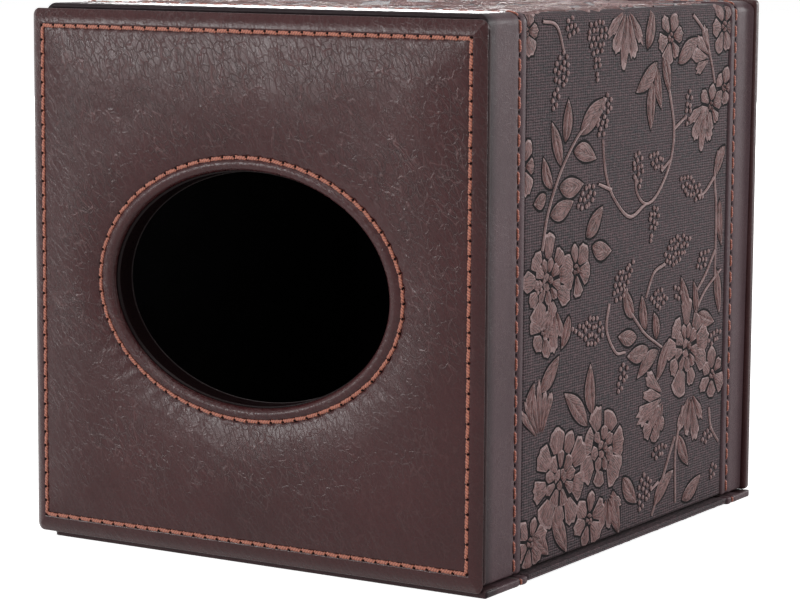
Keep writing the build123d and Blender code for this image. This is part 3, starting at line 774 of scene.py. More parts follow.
def hole_shape(size, rise):
    """A shallow dark cap that reads as a needle hole: the hole's painted shade."""
    sides = 8
    around = circle(sides)
    ring = np.stack([size * np.cos(around), 0.8 * size * np.sin(around), np.full(sides, -0.12)], 1)
    cap = ring * (0.6, 0.6, 0) + (0, 0, rise)
    verts = np.concatenate([ring, cap])
    faces = [*grid_faces(2, sides, closed=True), tuple(range(sides, 2 * sides)), tuple(reversed(range(sides)))]
    return verts, faces, np.zeros((2 * sides, 2))


def place_shape(parts, shape, kind, at, ahead, side, up, turn=0.0):
    """Copies a shape to a point, with its length along ahead."""
    verts, faces, uv = shape
    c, s = math.cos(turn), math.sin(turn)
    along = verts[:, 0] * c - verts[:, 1] * s
    across = verts[:, 0] * s + verts[:, 1] * c
    world = np.outer(along, ahead) + np.outer(across, side) + np.outer(verts[:, 2], up) + at
    parts.add(world, faces, kind, uv)


def sewn(name, parts, *finishes):
    """One mesh from many stitches and holes."""
    verts, uv = parts.points()
    return make_mesh(name, verts, parts.faces, [MATERIALS[key] for key in finishes], uv, parts.kinds)


def front_seam(name, places, node, lift):
    """Stitches on the front round a closed row of hole places, with a dark cap of painted shade as the hole at
    each.
    """
    parts = Parts()
    front = np.array([0.0, -1.0, 0.0])
    points = [np.array([x, STITCH_Y + 0.1, z + PLATE_MID_Z]) for x, z in places]
    for i, a in enumerate(points):
        b = points[(i + 1) % len(points)]
        gap = np.linalg.norm(b - a)
        ahead = (b - a) / gap
        side = np.cross(front, ahead)
        middle = (a + b) / 2 + front * lift
        sway = 0.04 * math.sin(2.3 * i)
        shape = stitch_shape(gap + 0.30, 0.94, 0.46, 0.18)
        place_shape(parts, shape, 0, middle, ahead, side, front, -0.04 - sway)
        place_shape(parts, hole_shape(0.40, 0.50), 1, a - side * 0.20 + front * 0.05, ahead, side, front)
    obj = sewn(name, parts, "thread", "hole")
    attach(obj, "case")
    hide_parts(node)


def make_front_stitches():
    """The border's four rows and the oval row."""
    far = BORDER_REACH
    run = np.linspace(-far, far, BORDER_STITCHES + 1)[:-1]
    square = [(far, r) for r in run] + [(-r, far) for r in run]
    square += [(-far, -r) for r in run] + [(r, -far) for r in run]
    front_seam("border_stitches", square, "border_thread", 0.06)
    t = np.linspace(0, 2 * math.pi, OVAL_SAMPLES)[:-1]
    angles = np.interp(np.arange(OVAL_STITCHES) / OVAL_STITCHES, oval_lengths(t, STITCH_A, STITCH_B), t)
    front_seam("oval_stitches", ellipse_ring(angles, STITCH_A, STITCH_B), "oval_thread", 0.08)


def band_seam(name, y, start, end, body, node, lift):
    """Stitches along a band, with a dark hole of painted shade between each two."""
    parts = Parts()
    count = round((end - start) / BAND_PITCH)
    pitch = (end - start) / count
    shape = stitch_shape(pitch * 0.76, 0.74, 0.5)
    gap = hole_shape(0.55, 0.10)
    side = np.array([0.0, 1.0, 0.0])

    def on_band(u, s, height):
        return wrap(u, np.array([s]), np.array([height]))[0]

    for i in range(count):
        s = start + (i + 0.5) * pitch
        ahead = on_band(y, s + pitch / 3, 0.0) - on_band(y, s - pitch / 3, 0.0)
        ahead = ahead / np.linalg.norm(ahead)
        up = np.cross(ahead, side)
        at = on_band(y, s, lift)
        if np.dot(up, on_band(y, s, 1.0) - at) < 0:
            up = -up
        across = np.cross(up, ahead)
        place_shape(parts, shape, 0, at, ahead, across, up, 0.08 + 0.05 * math.sin(2.1 * i))
        if i:
            place_shape(parts, gap, 1, on_band(y + 0.12, s - pitch / 2, lift - 0.04), ahead, across, up)
    obj = sewn(name, parts, "band_thread", "hole")
    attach(obj, body)
    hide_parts(node)


# ==== bands and cloth ====
def flare(s):
    """How far the rear band stands out at the back plate: most at the top of the side walls."""
    z, nx = (np.interp(s, ALONG, LINE[:, k]) for k in (1, 2))
    return REAR_FLARE * np.abs(nx) ** 3 * unit(z / TOP_Z) + 0.15


def band_profile(seam_y, edge_y, end_y, end_roll):
    """Height of a band: drawn down at its seam, swelling beside it, rolled at both edges."""
    towards = 1.0 if edge_y > seam_y else -1.0

    def height(u, s):
        seam = (u - seam_y) * towards
        edge = (edge_y - u) * towards
        wave = np.cos(2 * math.pi * (s - FOOT_AT) / BAND_PITCH)
        rise = -0.30 * bell(seam, 0.62) * (1 + 0.25 * wave)
        rise = rise + 0.10 * bell(seam - 1.7, 1.0) + 0.05 * bell(seam + 2.0, 1.4)
        roll = unit(1 - edge / 0.55)
        rise = rise - (CLOTH_SINK + 0.05) * (1 - np.sqrt(unit(1 - roll**2)))
        end = unit(1 - np.abs(u - end_y) / (1.6 * end_roll))
        if end_roll == REAR_END_ROLL:
            rise = rise + flare(s) * unit(1 - np.abs(u - end_y) / REAR_FLARE_RUN) ** 2
        return rise - end_roll * (1 - np.sqrt(unit(1 - end**2)))

    return height


def band_samples(y0, y1, seam_y):
    """Places across a band, closer together at its seam and edges."""
    even = np.arange(y0, y1, 0.9)
    close = seam_y + np.arange(-2.7, 2.71, 0.3)
    steps = np.array([0, 0.04, 0.1, 0.2, 0.4, 0.7, 1.1, 1.6])
    edges = np.concatenate([y0 + steps, y1 - steps])
    return np.unique(np.round(np.concatenate([even, close, edges]).clip(y0, y1), 3))


def cloth_sink(s):
    """How far the cloth lies below the bands: nothing where it is turned in over the lip."""
    return CLOTH_SINK * unit((LIP_OVER_AT - s) / (LIP_OVER_AT - LIP_AT))


def cloth_profile(u, s):
    """The ground cloth lies a little below the bands and dips under their edges."""
    near = np.minimum(u - CLOTH_Y0, CLOTH_Y1 - u)
    return -cloth_sink(s) - 0.06 * np.exp(-near / 0.9)


def make_bands():
    """Both bands and the ground cloth, on the case, round the fold and on the flap."""
    front_y = PLATE_REAR_Y - 0.1
    strips = (
        # name, node, finish, underside on the case, seam, inner edge, end on the case, end on the flap
        ("front_leather_band", "front_band", "band", -1.65, FRONT_SEAM_Y, CLOTH_Y0, front_y, FLAP_FRONT_Y),
        ("cloth", "fabric", "ground", -0.55, None, None, None, None),
        ("rear_leather_band", "rear_band", "band", -0.9, REAR_SEAM_Y, CLOTH_Y1, CASE_REAR_Y, FLAP_REAR_Y),
    )
    for name, node, finish, under, seam, inner, case_end, flap_end in strips:
        step = 0.7 if seam else 1.5
        shapes = []
        for end in (case_end, flap_end):
            if seam:
                across = band_samples(min(inner, end), max(inner, end), seam)
                roll = REAR_END_ROLL if end == CASE_REAR_Y else END_ROLL
                shapes.append((across, band_profile(seam, inner, end, roll)))
            else:
                shapes.append((np.linspace(CLOTH_Y0 - 0.3, CLOTH_Y1 + 0.3, 60), cloth_profile))
        on_case, on_flap = shapes
        finishes = [MATERIALS[finish]]
        case = make_strip(f"case_{name}", FOOT_AT, FOLD_AT, *on_case, under, step, finishes)
        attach(case, "case")
        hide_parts(f"case_{node}")
        fold = make_strip(f"fold_{name}", FOLD_AT, UNDER_AT, *on_case, max(under, -0.9), 0.3, finishes)
        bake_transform(fold)
        flap = make_strip(f"flap_{name}", UNDER_AT, END_AT, *on_flap, max(under, -0.75), step, finishes)
        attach(flap, "flap")
        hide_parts(f"flap_{node}")


def make_band_stitches():
    """The seams of both bands, on the case and on the flap."""
    # body, start, end, height above the seam's line
    runs = (("case", FOOT_AT + 2.6, FOLD_AT + 0.5, -0.12), ("flap", UNDER_AT + 0.5, END_AT - 12.0, -0.36))
    for side, y in (("front", FRONT_SEAM_Y), ("rear", REAR_SEAM_Y)):
        for body, start, end, lift in runs:
            band_seam(f"{body}_{side}_stitches", y, start, end, body, f"{body}_{side}_thread", lift)
        lip_stitch(f"flap_{side}_lip_stitch", y)


def lip_stitch(name, y):
    """The one stitch that shows on the face of the lip."""
    parts = Parts()
    up, ahead = np.array([1.0, 0.0, 0.0]), np.array([0.0, 0.0, 1.0])
    at = np.array([LIP_X - 0.14, y, FLAP_TOP_Z / 2])
    place_shape(parts, stitch_shape(1.55, 0.74, 0.5), 0, at, ahead, np.cross(up, ahead), up, 0.1)
    obj = sewn(name, parts, "band_thread")
    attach(obj, "flap")


def make_flap_edges():
    """The leather turned up over the flap's front and rear edges."""
    # distance in from the edge, and height
    section = [(1.0, 0.02), (0.45, 0.0), (0.12, 0.12), (0.0, 0.45), (0.0, 1.35), (0.12, 1.68)]
    section += [(0.45, 1.8), (6.0, 1.83), (6.0, 1.6), (1.0, 1.5)]
    for name, outer_y, inward in (("flap_front_edge", FLAP_FRONT_Y, 1), ("flap_rear_edge", FLAP_REAR_Y, -1)):
        xs = np.linspace(FOLD_R - WALL_X, LIP_X - 0.35, 160)
        sway = wander(xs, xs * 0, 0.5, 6.1)
        ys = [outer_y + inward * (d + 0.03 * sway) for d, _ in section]
        rows = [np.stack([xs, y, np.full(xs.shape, z)], 1) for y, (_, z) in zip(ys, section)]
        count, cols = len(rows), len(xs)
        last = (count - 1) * cols
        faces = grid_faces(count, cols)
        faces += [(last + c, last + c + 1, c + 1, c) for c in range(cols - 1)]
        faces.append(tuple(r * cols for r in range(count)))
        faces.append(tuple(r * cols + cols - 1 for r in reversed(range(count))))
        faces = faces if inward > 0 else flipped(faces)
        obj = make_mesh(name, np.concatenate(rows), faces, [MATERIALS["lip"]])
        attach(obj, "flap")


def make_back_leather():
    """Plain leather over the back plate, rolled round its edges."""
    middle, roll = 60.1, 0.9
    # inset from the plate's outline, and Y
    rows = [(middle, BACK_PLATE_Y + 0.9), (3.0, BACK_PLATE_Y + 0.9), (2.1, BACK_PLATE_Y - 0.05)]
    rows += [(0.4, BACK_PLATE_Y - 0.05), (0.08, BACK_PLATE_Y + 0.1), (0.0, BACK_PLATE_Y + 0.5)]
    quarter = np.radians(np.linspace(0, 90, 8))
    rows += [(roll - roll * math.cos(a), BACK_Y - roll + roll * math.sin(a)) for a in quarter]
    rows += [(d, BACK_Y) for d in np.arange(2.0, middle, 1.0)]
    rings = []
    for inset, y in rows:
        ring = rounded_ring(BACK_HALF_X - inset, max(BACK_CORNER - inset, 0.4), 130, 10)
        # the square is drawn out to the plate's height
        share = np.minimum(np.abs(ring[:, 1]) / 2.0, 1.0)
        ring[:, 1] += np.sign(ring[:, 1]) * share * (BACK_HALF_Z - BACK_HALF_X)
        swell = 0.12 * wander(ring[:, 0], ring[:, 1], 0.05, 5.5) - 0.12 if inset > 1 else 0
        rings.append(at_y(ring, y + swell))
    points = np.concatenate(rings)
    count = len(rings[0])
    faces = flipped(grid_faces(len(rings), count, closed=True))
    faces += [tuple(range(count)), tuple(reversed(range((len(rings) - 1) * count, len(points))))]
    obj = make_mesh("back_plate_leather", upright(points, BACK_MID_Z), faces, [MATERIALS["back"]])
    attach(obj, "case")
    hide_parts("back_skin")


# ==== the raised figure of the cloth ====
def painted_shade_patch(parts, outline, grow):
    """A flat dark shape a little larger than what stands on it: painted shade round a raised piece."""
    centre = outline.mean(axis=0)
    away = outline - centre
    far = np.maximum(np.linalg.norm(away, axis=1), 0.8)[:, None]
    count = len(outline)
    rim = np.column_stack([centre + away * (1 + grow / far), np.full(count, 0.02)])
    hub = np.array([[*centre, 0.025]])
    fan = [(i, (i + 1) % count, count) for i in range(count)]
    parts.add(np.concatenate([rim, hub]), fan, 1, np.zeros((count + 1, 2)))


def add_raised(parts, verts, rows, cols, uv):
    """A raised grid whose outermost faces carry a painted highlight along its edge."""
    inner, rim = [], []
    for n, face in enumerate(flipped(grid_faces(rows, cols))):
        inside = 0 < n % (cols - 1) < cols - 2 and n // (cols - 1) < rows - 2
        (inner if inside else rim).append(face)
    parts.add(verts, inner, 0, uv)
    parts.add(verts, rim, 2, uv)


def leaf(parts, base, tip, width, bend):
    """A pointed leaf with a midrib pressed into it; its left half and right half are slightly unequal."""
    base, tip = np.asarray(base, dtype=float), np.asarray(tip, dtype=float)
    span = tip - base
    length = np.linalg.norm(span)
    ahead = span / length
    side = np.array([-ahead[1], ahead[0]])
    t = np.linspace(0, 1, 13)
    c = np.array([-1, -0.92, -0.7, -0.4, -0.12, 0, 0.12, 0.4, 0.7, 0.92, 1])
    tt, cc = np.meshgrid(t, c, indexing="ij")
    uneven = 1 + 0.10 * np.sign(cc) * np.sign(bend + 1e-9)
    breadth = np.clip(np.sin(math.pi * tt**0.85), 0.02, 1) ** 0.85 * uneven
    sideways = cc * breadth * width / 2 + bend * np.sin(math.pi * tt)
    flat = base[:, None, None] + ahead[:, None, None] * tt * length + side[:, None, None] * sideways
    dome = (1 - np.abs(cc) ** 5) * unit(np.sin(math.pi * np.clip(tt, 0.03, 0.97)) * 2.4)
    crease = bell(cc, 0.10) * 0.75 * unit((0.86 - tt) * 6)
    rise = 0.03 + FIGURE_RISE * (dome - crease)
    verts = np.stack([flat[0], flat[1], rise], -1).reshape(-1, 3)
    uv = np.stack([np.abs(cc) * width / 2 + 0.35 * tt * length, tt * length], -1) + (base[0], base[1])
    add_raised(parts, verts, len(t), len(c), uv.reshape(-1, 2))
    outline = np.concatenate([flat[:, :, 0].T, flat[:, ::-1, -1].T])
    painted_shade_patch(parts, outline, 0.72)


def petal(parts, centre, angle, half, r0, r1, squash, ruffle=0.05):
    """One petal of a ring about a centre: a scallop with a dark gap of painted shade on each side of it."""
    t = np.linspace(0, 1, 9)
    c = np.array([-1, -0.88, -0.6, -0.3, 0, 0.3, 0.6, 0.88, 1])
    tt, cc = np.meshgrid(t, c, indexing="ij")
    point = 0.5 + 0.5 * math.sin(7.0 * angle + centre[0])
    tip = 1 - (0.14 + 0.26 * point) * np.abs(cc) ** (2.4 - 1.0 * point)
    tip = tip + ruffle * np.cos(3 * math.pi * cc + angle) * (1 - cc**2) + 0.02 * np.sin(9 * cc + 5 * angle)
    r = r0 + GAP + (r1 - r0 - GAP) * tt * tip + (r1 - r0) * 0.10 * cc**2 * (1 - tt)
    spread = half * (0.86 + 0.14 * np.sin(math.pi * tt / 2)) - GAP / np.maximum(r, 0.6)
    turn = angle + cc * np.maximum(spread, 0.06)
    x = centre[0] + r * np.cos(turn)
    z = centre[1] + squash * r * np.sin(turn)
    dome = (1 - np.abs(cc) ** 5) * (1 - np.abs(2 * tt - 1) ** 5)
    curl = 0.35 * unit(tt - 0.55) * (1 - cc**2)
    rise = 0.03 + FIGURE_RISE * (dome * (0.85 + curl) - 0.12 * np.sin(3 * cc + angle)) * (dome > 0.01)
    verts = np.stack([x, z, np.maximum(rise, 0.02)], -1).reshape(-1, 3)
    uv = np.stack([cc * spread * r + 3 * angle, r + centre[1]], -1).reshape(-1, 2)
    add_raised(parts, verts, len(t), len(c), uv)
    grid = np.stack([x, z], -1)
    painted_shade_patch(parts, np.concatenate([grid[:, 0], grid[-1], grid[::-1, -1]]), 0.58)


def flower_bed(parts, centre, radius, squash, petals, turn):
    """A dark patch of painted shade under a whole flower."""
    a = circle(48)
    r = 0.6 * radius * (1 - 0.05 * (1 - np.cos(petals * (a - turn))))
    outline = np.stack([centre[0] + r * np.cos(a), centre[1] + squash * r * np.sin(a)], 1)
    painted_shade_patch(parts, outline, 0.0)


def bloom(parts, centre, radius, turn, squash, petals, layers):
    """A full flower: rings of petals round a small heart."""
    turn = math.radians(turn)
    # petals in each ring, and where they start and end as shares of the radius
    full = ((petals - 1, 0.50, 1.0), (petals - 1, 0.20, 0.56), (3, 0.02, 0.22))
    small = ((petals - 1, 0.22, 1.0), (3, 0.02, 0.20))
    flower_bed(parts, centre, radius, squash, petals, turn)
    for ring, (count, start, end) in enumerate(full if layers == 3 else small):
        for k in range(count):
            wobble = math.sin(5.1 * k + 2.7 * ring + centre[0])
            angle = turn + 2 * math.pi * (k + 0.5 * ring) / count + 0.09 * wobble
            half = math.pi / count * (0.92 + 0.16 * math.sin(2.2 * k + centre[1]))
            reach = radius * end * (1 + 0.12 * math.sin(3.3 * k + centre[1] + ring) * (ring == 0))
            petal(parts, centre, angle, half, radius * start, reach, squash)


def fan(parts, base, heading, spread, length, count):
    """Long petals that open from one point, as on a half-open flower."""
    last = count - 1
    half = math.radians(spread) / last / 2
    for k in range(count):
        angle = math.radians(heading + spread * (k - last / 2) / last)
        reach = length * (1 - 0.14 * abs(2 * k / last - 1) + 0.08 * math.sin(4.0 * k))
        petal(parts, base, angle, half * 1.05, length * FAN_HEART, reach, 1.0, 0.08)


def smooth_path(points):
    """A curve through points."""
    p = np.asarray(points, dtype=float)
    p = np.concatenate([[2 * p[0] - p[1]], p, [2 * p[-1] - p[-2]]])
    out = []
    for a, b, c, d in zip(p, p[1:], p[2:], p[3:]):
        for t in (k / PATH_STEPS for k in range(PATH_STEPS)):
            square, cube = 2 * a - 5 * b + 4 * c - d, 3 * b - 3 * c + d - a
            out.append(0.5 * (2 * b + (c - a) * t + square * t**2 + cube * t**3))
    out.append(p[-2])
    return np.array(out)


def stem(parts, points):
    """A raised line, on a wider dark line of painted shade."""
    line = smooth_path(points)
    step = np.gradient(line, axis=0)
    step /= np.linalg.norm(step, axis=1)[:, None]
    side = np.stack([-step[:, 1], step[:, 0]], 1)
    count = len(line)
    grow = np.linspace(1.0, 0.75, count)[:, None]
    half = STEM_WIDTH / 2
    across = np.array([-1, -0.6, 0, 0.6, 1])
    # first a wider line of painted shade, then the pale raised stem on it
    for kind, reach, heights in ((1, half + 0.36, (0.015,) * 5), (2, half, (0.02, 0.24, 0.32, 0.24, 0.02))):
        rows = [at_y(line + side * c * reach * grow, height) for c, height in zip(across, heights)]
        uv = np.tile(np.stack([across * 0.4, np.full(5, 0.9)], 1), (count, 1)) + (0, line[0, 0])
        parts.add(np.stack(rows, 1).reshape(-1, 3), flipped(grid_faces(count, 5)), kind, uv)


def bead(parts, at, heading):
    """One small raised seed, with a painted shadow to one side of it."""
    sides = 9
    around = circle(sides)
    ahead = np.array([math.cos(heading), math.sin(heading)])
    side = np.array([-ahead[1], ahead[0]])
    disc = np.outer(0.62 * np.cos(around), ahead) + np.outer(0.48 * np.sin(around), side)
    rings = [(1.0, 0.03), (0.84, 0.28), (0.45, 0.42)]
    verts = np.concatenate([at_y(at + disc * k, height) for k, height in rings])
    faces = [*grid_faces(3, sides, closed=True), tuple(range(2 * sides, 3 * sides))]
    parts.add(verts, faces, 2, np.tile([0.0, 1.0], (3 * sides, 1)))
    # an offset dark disc: the seed's painted shadow
    parts.add(at_y(at + disc * 1.35 + (-0.34, -0.06), 0.018), [tuple(range(sides))], 1, np.zeros((sides, 2)))


def cluster(parts, tip, heading, counts):
    """Seeds in rows that widen away from a tip; counts is how many are in each row."""
    angle = math.radians(heading)
    ahead = np.array([math.cos(angle), math.sin(angle)])
    side = np.array([-ahead[1], ahead[0]])
    for row, count in enumerate(counts):
        for k in range(count):
            loose = 0.22 * np.array([math.sin(3.7 * row + 2.1 * k), math.cos(2.9 * row - 4.3 * k)])
            across = side * (k - (count - 1) / 2) * SEED_PITCH
            at = np.asarray(tip) + ahead * row * SEED_PITCH * 0.84 + across + loose
            bead(parts, at, 1.45 + 0.15 * math.sin(row + 2 * k))


# The figure on the right wall, in millimetres: across is Y, up is height.
LEAVES = (
    # base, tip, width
    (-22.8, 103.8, -9.6, 111.9, 5.4), (-25.9, 100.0, -14.6, 97.5, 4.6), (-30.3, 102.5, -29.0, 112.5, 4.4),
    (-32.2, 97.0, -37.1, 107.5, 4.2), (-36.6, 91.9, -40.9, 99.4, 3.8), (-32.8, 91.9, -20.9, 91.9, 4.8),
    (-37.1, 85.6, -25.9, 88.1, 4.6), (-39.6, 90.6, -45.2, 88.8, 3.6), (-19.0, 78.8, -10.9, 85.6, 4.8),
    (-15.9, 76.2, -5.9, 74.4, 4.6), (17.3, 119.4, 6.0, 112.5, 4.6), (14.7, 114.8, 14.2, 102.9, 4.4),
    (17.3, 118.1, 19.8, 107.9, 3.6), (20.5, 121.3, 24.2, 111.5, 4.2), (29.2, 118.8, 41.0, 124.8, 4.8),
    (11.6, 123.1, 14.0, 132.9, 4.6), (6.6, 56.3, 1.2, 64.4, 4.4), (13.5, 52.5, 11.0, 61.3, 4.0),
    (19.5, 49.4, 17.8, 56.3, 3.6), (8.5, 51.2, -1.5, 52.5, 4.0), (15.0, 47.5, 3.5, 46.9, 4.4),
    (20.4, 46.3, 9.1, 40.6, 4.4), (26.0, 48.0, 20.0, 38.5, 4.4), (38.3, 55.0, 33.1, 63.8, 3.8),
    (42.3, 53.1, 40.4, 61.9, 3.0), (43.5, 53.1, 53.0, 50.0, 4.0), (-14.6, 35.0, -15.9, 47.5, 5.2),
    (-17.1, 32.5, -29.0, 42.0, 5.0), (-41.0, 44.0, -32.0, 51.5, 4.6), (-46.0, 38.0, -44.0, 46.5, 4.0),
    (2.3, 16.3, 9.8, 8.8, 4.8), (-3.0, 14.0, 0.5, 2.5, 5.2), (19.8, 6.3, 30.4, 13.8, 4.4),
    (32.9, 22.5, 39.1, 13.8, 4.2), (36.0, 5.0, 46.6, 10.0, 4.4), (-27.2, 60.6, -30.9, 53.1, 4.0),
    (53.5, 64.0, 56.0, 52.0, 4.0), (55.0, 82.0, 56.5, 70.0, 3.6), (-34.0, 12.5, -27.0, 3.0, 5.2),
    (-44.0, 10.0, -36.0, 4.0, 4.6), (57.5, 96.0, 51.5, 88.0, 4.0),
)
STEMS = (
    ((-40.9, 77.5), (-38.4, 86.0), (-32.8, 95.0), (-25.3, 102.5), (-19.0, 106.3)),
    ((24.2, 112.5), (27.3, 102.5), (25.4, 93.8), (18.5, 86.3), (12.3, 84.4), (7.3, 87.5), (6.3, 91.9)),
    ((12.3, 84.4), (3.5, 81.9), (-5.3, 87.5), (-9.6, 93.8), (-11.3, 102.0)), ((-6.5, 89.4), (-13.4, 91.3)),
    ((27.3, 102.2), (33.5, 104.8)), ((20.4, 91.9), (25.4, 94.4)),
    ((-42.1, 131.3), (-35.3, 130.0), (-31.5, 123.8)),
    ((53.5, 95.0), (51.6, 88.8), (52.9, 80.0), (53.0, 61.5)), ((51.6, 88.4), (46.0, 84.8), (41.6, 84.0)),
    ((52.9, 69.0), (47.3, 63.1), (42.5, 59.4)), ((41.6, 53.8), (47.3, 58.8), (56.5, 63.5)),
    ((5.4, 57.5), (8.5, 55.0), (13.5, 51.3), (22.5, 47.0)), ((23.5, 68.1), (17.3, 66.3), (13.2, 60.5)),
    ((-6.5, 61.3), (-7.8, 55.0), (-2.8, 48.8), (2.2, 48.1)), ((35.4, 30.0), (31.6, 18.8), (32.0, 5.0)),
    ((31.0, 22.5), (26.0, 15.0), (18.5, 3.8)), ((51.0, 27.5), (52.5, 22.0), (57.0, 17.5)),
    ((22.0, 12.0), (17.5, 10.5)), ((37.0, 131.0), (43.5, 126.5), (48.0, 119.0), (50.5, 113.0)),
)
CLUSTERS = (
    # tip, heading, seeds in each row
    (-14.6, 116.3, 92, (1, 1, 2, 2, 3, 4, 5, 5, 4)), (-36.5, 110.5, 66, (1, 2, 2, 1, 3, 4, 4, 3, 2)),
    (-25.0, 128.5, 160, (1, 2, 3, 2)), (-13.5, 103.0, 60, (1, 3, 3, 3, 2, 3, 2)),
    (-23.5, 86.5, 25, (1, 2, 3, 3, 3, 2)), (8.5, 88.8, 100, (1, 2, 3, 3, 3, 2)),
    (14.3, 96.0, -18, (1, 2, 3, 2, 2)), (34.5, 103.0, 80, (1, 2, 2, 2, 2, 1)),
    (15.3, 74.6, 75, (1, 1, 2, 3, 3, 2)), (31.8, 89.0, -22, (1, 2, 3, 3, 3, 2, 3, 2, 1)),
    (-25.5, 57.0, -8, (1, 1, 2, 2, 3, 4, 4, 4, 3, 2)), (5.8, 70.2, 218, (1, 2, 2, 3, 4, 4, 3, 2)),
    (37.5, 73.2, 195, (1, 2, 3, 3, 4, 4, 4, 3, 2)), (24.8, 59.0, 172, (1, 2, 3, 3, 2, 1)),
    (29.5, 61.3, -40, (1, 2, 2)), (42.5, 65.5, 30, (1, 2, 3, 2, 1)), (-1.0, 38.5, 60, (1, 2, 2, 3, 2)),
    (11.7, 6.5, 62, (1, 2, 3, 4, 4, 3)), (18.7, 19.5, 10, (1, 2, 2, 2, 1)),
    (50.0, 45.0, 15, (1, 2, 2, 2, 1)), (47.5, 19.0, 20, (1, 2, 2, 2)), (-40.0, 70.0, 200, (1, 2, 2)),
    (53.0, 8.0, 60, (1, 2, 2)),
)
BLOOMS = (
    # centre, radius, turn, squash, petals, layers
    (-38.0, 70.0, 11.3, 10, 0.92, 10, 3), (-24.0, 71.5, 7.2, 40, 0.95, 7, 2),
    (-39.5, 58.0, 6.6, 0, 0.9, 6, 2), (-30.5, 21.5, 13.4, 25, 0.95, 10, 3),
    (-9.0, 25.5, 10.8, 5, 0.98, 8, 3), (-15.5, 9.0, 8.0, 15, 0.9, 7, 2), (-45.0, 8.5, 7.4, 15, 0.9, 7, 2),
    (37.0, 45.0, 11.8, 12, 1.0, 10, 3), (52.5, 36.0, 7.2, 30, 0.95, 7, 2),
    (19.0, 27.5, 5.8, 60, 0.85, 6, 2), (24.5, 125.5, 7.0, 10, 0.95, 7, 2),
    (48.5, 107.0, 6.4, 20, 0.95, 7, 2), (55.5, 127.5, 7.5, 0, 0.95, 7, 2),
    (56.0, 111.5, 5.4, 0, 0.95, 6, 2), (-50.0, 129.0, 6.0, 0, 0.95, 7, 2), (-50.5, 98.0, 5.5, 0, 1.2, 7, 2),
)
FANS = (
    # base, heading, spread, length, petals
    (1.0, 134.0, 262, 95, 15.0, 5), (-41.0, 32.0, 100, 75, 14.5, 6), (25.0, 34.0, 195, 95, 14.5, 5),
    (40.0, 33.5, 272, 75, 13.5, 4), (45.5, 108.0, 245, 80, 12.5, 4), (48.0, 119.5, 160, 80, 11.0, 4),
    (-34.0, 64.0, 250, 85, 11.0, 4), (-6.0, 14.0, 290, 80, 10.5, 4),
)


def figure_parts():
    """One repeat of the cloth's figure, flat."""
    parts = Parts()
    for points in STEMS:
        stem(parts, points)
    for i, (x0, z0, x1, z1, width) in enumerate(LEAVES):
        leaf(parts, (x0, z0), (x1, z1), width, 0.5 * math.sin(2.0 * i))
    for x, z, heading, counts in CLUSTERS:
        cluster(parts, (x, z), heading, counts)
    for x, z, heading, spread, length, count in FANS:
        fan(parts, (x, z), heading, spread, length, count)
    for x, z, radius, turn, squash, petals, layers in BLOOMS:
        bloom(parts, (x, z), radius, turn, squash, petals=petals, layers=layers)
    return parts


def cut(mesh, point, normal):
    """Removes what lies on the normal's side of a plane."""
    geometry = mesh.verts[:] + mesh.edges[:] + mesh.faces[:]
    bmesh.ops.bisect_plane(mesh, geom=geometry, plane_co=point, plane_no=normal, clear_outer=True, dist=1e-5)


def make_figure(name, parts, start, end, repeats):
    """The figure between two distances along the covering, cut at the bands and laid on the cloth."""
    verts, uv = parts.points()
    flat = bpy.data.meshes.new(name)
    all_verts = np.concatenate([verts + (0, REPEAT * k, 0) for k in repeats])
    faces = [tuple(i + len(verts) * n for i in f) for n in range(len(repeats)) for f in parts.faces]
    flat.from_pydata(all_verts.tolist(), [], faces)
    lay_uv(flat, np.tile(uv, (len(repeats), 1)))
    flat.polygons.foreach_set("material_index", np.array(parts.kinds * len(repeats), dtype=np.int32))
    mesh = bmesh.new()
    mesh.from_mesh(flat)
    cut(mesh, (0, start, 0), (0, -1, 0))
    cut(mesh, (0, end, 0), (0, 1, 0))
    cut(mesh, (CLOTH_Y0 + 0.02, 0, 0), (-1, 0, 0))
    cut(mesh, (CLOTH_Y1 - 0.02, 0, 0), (1, 0, 0))
    mesh.to_mesh(flat)
    mesh.free()
    points = np.empty(3 * len(flat.vertices))
    flat.vertices.foreach_get("co", points)
    points = points.reshape(-1, 3)
    laid = wrap(points[:, 0], points[:, 1], points[:, 2] - cloth_sink(points[:, 1])) * MM
    flat.vertices.foreach_set("co", laid.ravel())
    flat.polygons.foreach_set("use_smooth", np.full(len(flat.polygons), True))
    # raised cloth, painted shade round it, then the pale cloth with its painted rim highlight
    for finish in ("raised", "shade_patches", "pale_and_rim_highlight"):
        flat.materials.append(MATERIALS[finish])
    flat.update()
    obj = put(name, flat)
    return obj


def make_figures():
    """The figure on the case, in the fold and on the flap."""
    parts = figure_parts()
    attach(make_figure("case_figure", parts, FOOT_AT + 2.9, FOLD_AT, (0, 1, 2)), "case")
    fold = make_figure("fold_figure", parts, FOLD_AT, UNDER_AT, (2, 3))
    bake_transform(fold)
    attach(make_figure("flap_figure", parts, UNDER_AT, END_AT - 12.5, (3, 2)), "flap")


# ==== finishes of the frame's own pieces ====
def dress_frame():
    """Boards, linings and closure keep their shape and get their finish."""
    walls = ("back", "top", "left", "right", "flap")
    finishes = {
        "board": ("front_board", "front_inner_board", *(f"{wall}_board" for wall in walls)),
        "felt": ("front_lining", *(f"{wall}_lining" for wall in walls)),
        "wood": ("magnet_batten",),
        "steel": ("closure_magnets", "strike_plates"),
    }
    for finish, nodes in finishes.items():
        for node in nodes:
            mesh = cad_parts[node].data
            mesh.materials.clear()
            mesh.materials.append(MATERIALS[finish])


# ==== stage, light and camera ====
def seen_directly(g):
    """1 for what the camera, a reflection or a see-through surface looks at."""
    path = g.node("LightPath", {}).outputs
    return g.most(g.most(path["Is Camera Ray"], path["Is Glossy Ray"]), path["Is Transmission Ray"])


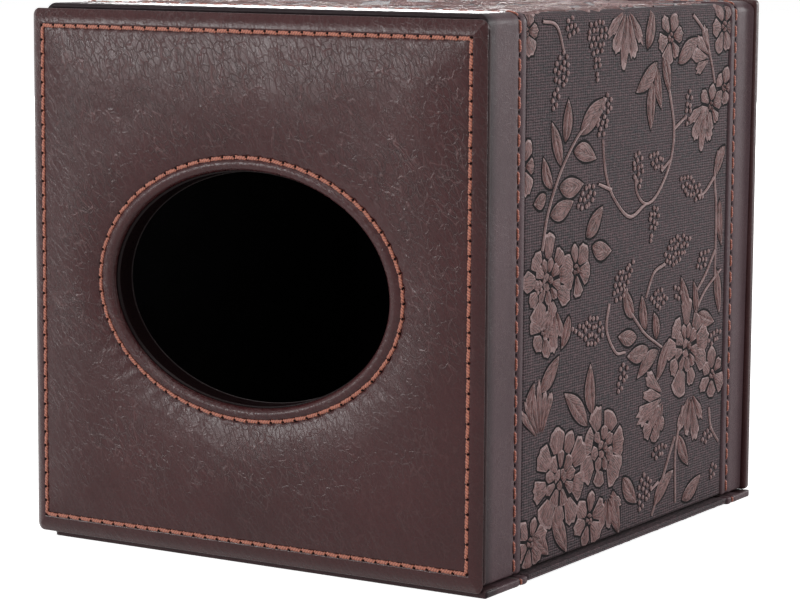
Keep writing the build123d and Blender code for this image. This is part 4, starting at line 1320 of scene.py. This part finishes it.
def make_stage():
    """A pale floor that goes to white where nothing shades it."""
    half = FLOOR_SIZE / 2 / MM
    corners = [(-half, -half, 0), (half, -half, 0), (half, half, 0), (-half, half, 0)]
    g = Graph("floor_white")
    g.finish((0.82, 0.82, 0.82, 1.0), 1.0, None, Specular_IOR_Level=0.0)
    g.feed(g.bsdf.inputs["Emission Color"], (1, 1, 1, 1))
    g.feed(g.bsdf.inputs["Emission Strength"], g.times(seen_directly(g), 0.75))
    obj = make_mesh("floor", corners, [(0, 1, 2, 3)], [g.mat])


def make_world():
    """An even white surround: full white where it is seen, softer as light."""
    world = bpy.data.worlds.new("surround")
    bpy.context.scene.world = world
    world.use_nodes = True
    g = Graph.__new__(Graph)
    g.tree = world.node_tree
    shade = g.tree.nodes["Background"]
    shade.inputs[0].default_value = (1, 1, 1, 1)
    g.feed(shade.inputs[1], g.between(seen_directly(g), 0, 1, 0.30, 1.0))


def make_lights():
    """Round lamps, all aimed at the middle of the box."""
    for name, at, size, power in LIGHTS:
        lamp = bpy.data.lights.new(name, "AREA")
        lamp.shape = "DISK"
        lamp.size = size
        lamp.energy = power
        obj = put(name, lamp)
        obj.location = at
        obj.rotation_euler = (Vector(LIGHT_AIM) - Vector(at)).to_track_quat("-Z", "Y").to_euler()


def make_camera():
    """The photo's camera, from its place, turn, slope and roll."""
    yaw, pitch, roll = (math.radians(a) for a in (CAMERA_YAW, CAMERA_PITCH, CAMERA_ROLL))
    ahead = Vector((-math.sin(yaw) * math.cos(pitch), math.cos(yaw) * math.cos(pitch), -math.sin(pitch)))
    level = Vector((math.cos(yaw), math.sin(yaw), 0))
    up = level.cross(ahead)
    right = math.cos(roll) * level + math.sin(roll) * up
    over = -math.sin(roll) * level + math.cos(roll) * up
    camera = bpy.data.cameras.new("camera")
    camera.lens = CAMERA_LENS
    camera.sensor_width = 36.0
    camera.clip_end = 50.0
    obj = put("camera", camera)
    turn = Matrix((right, over, -ahead)).transposed().to_4x4()
    obj.matrix_world = Matrix.Translation(CAMERA_AT) @ turn
    bpy.context.scene.camera = obj


make_stage()
make_world()
make_lights()
make_camera()
make_front_leather()
make_mouth_rim()
make_front_stitches()
make_bands()
make_band_stitches()
make_flap_edges()
make_back_leather()
make_figures()
dress_frame()
bpy.context.scene.view_settings.view_transform = "Standard"
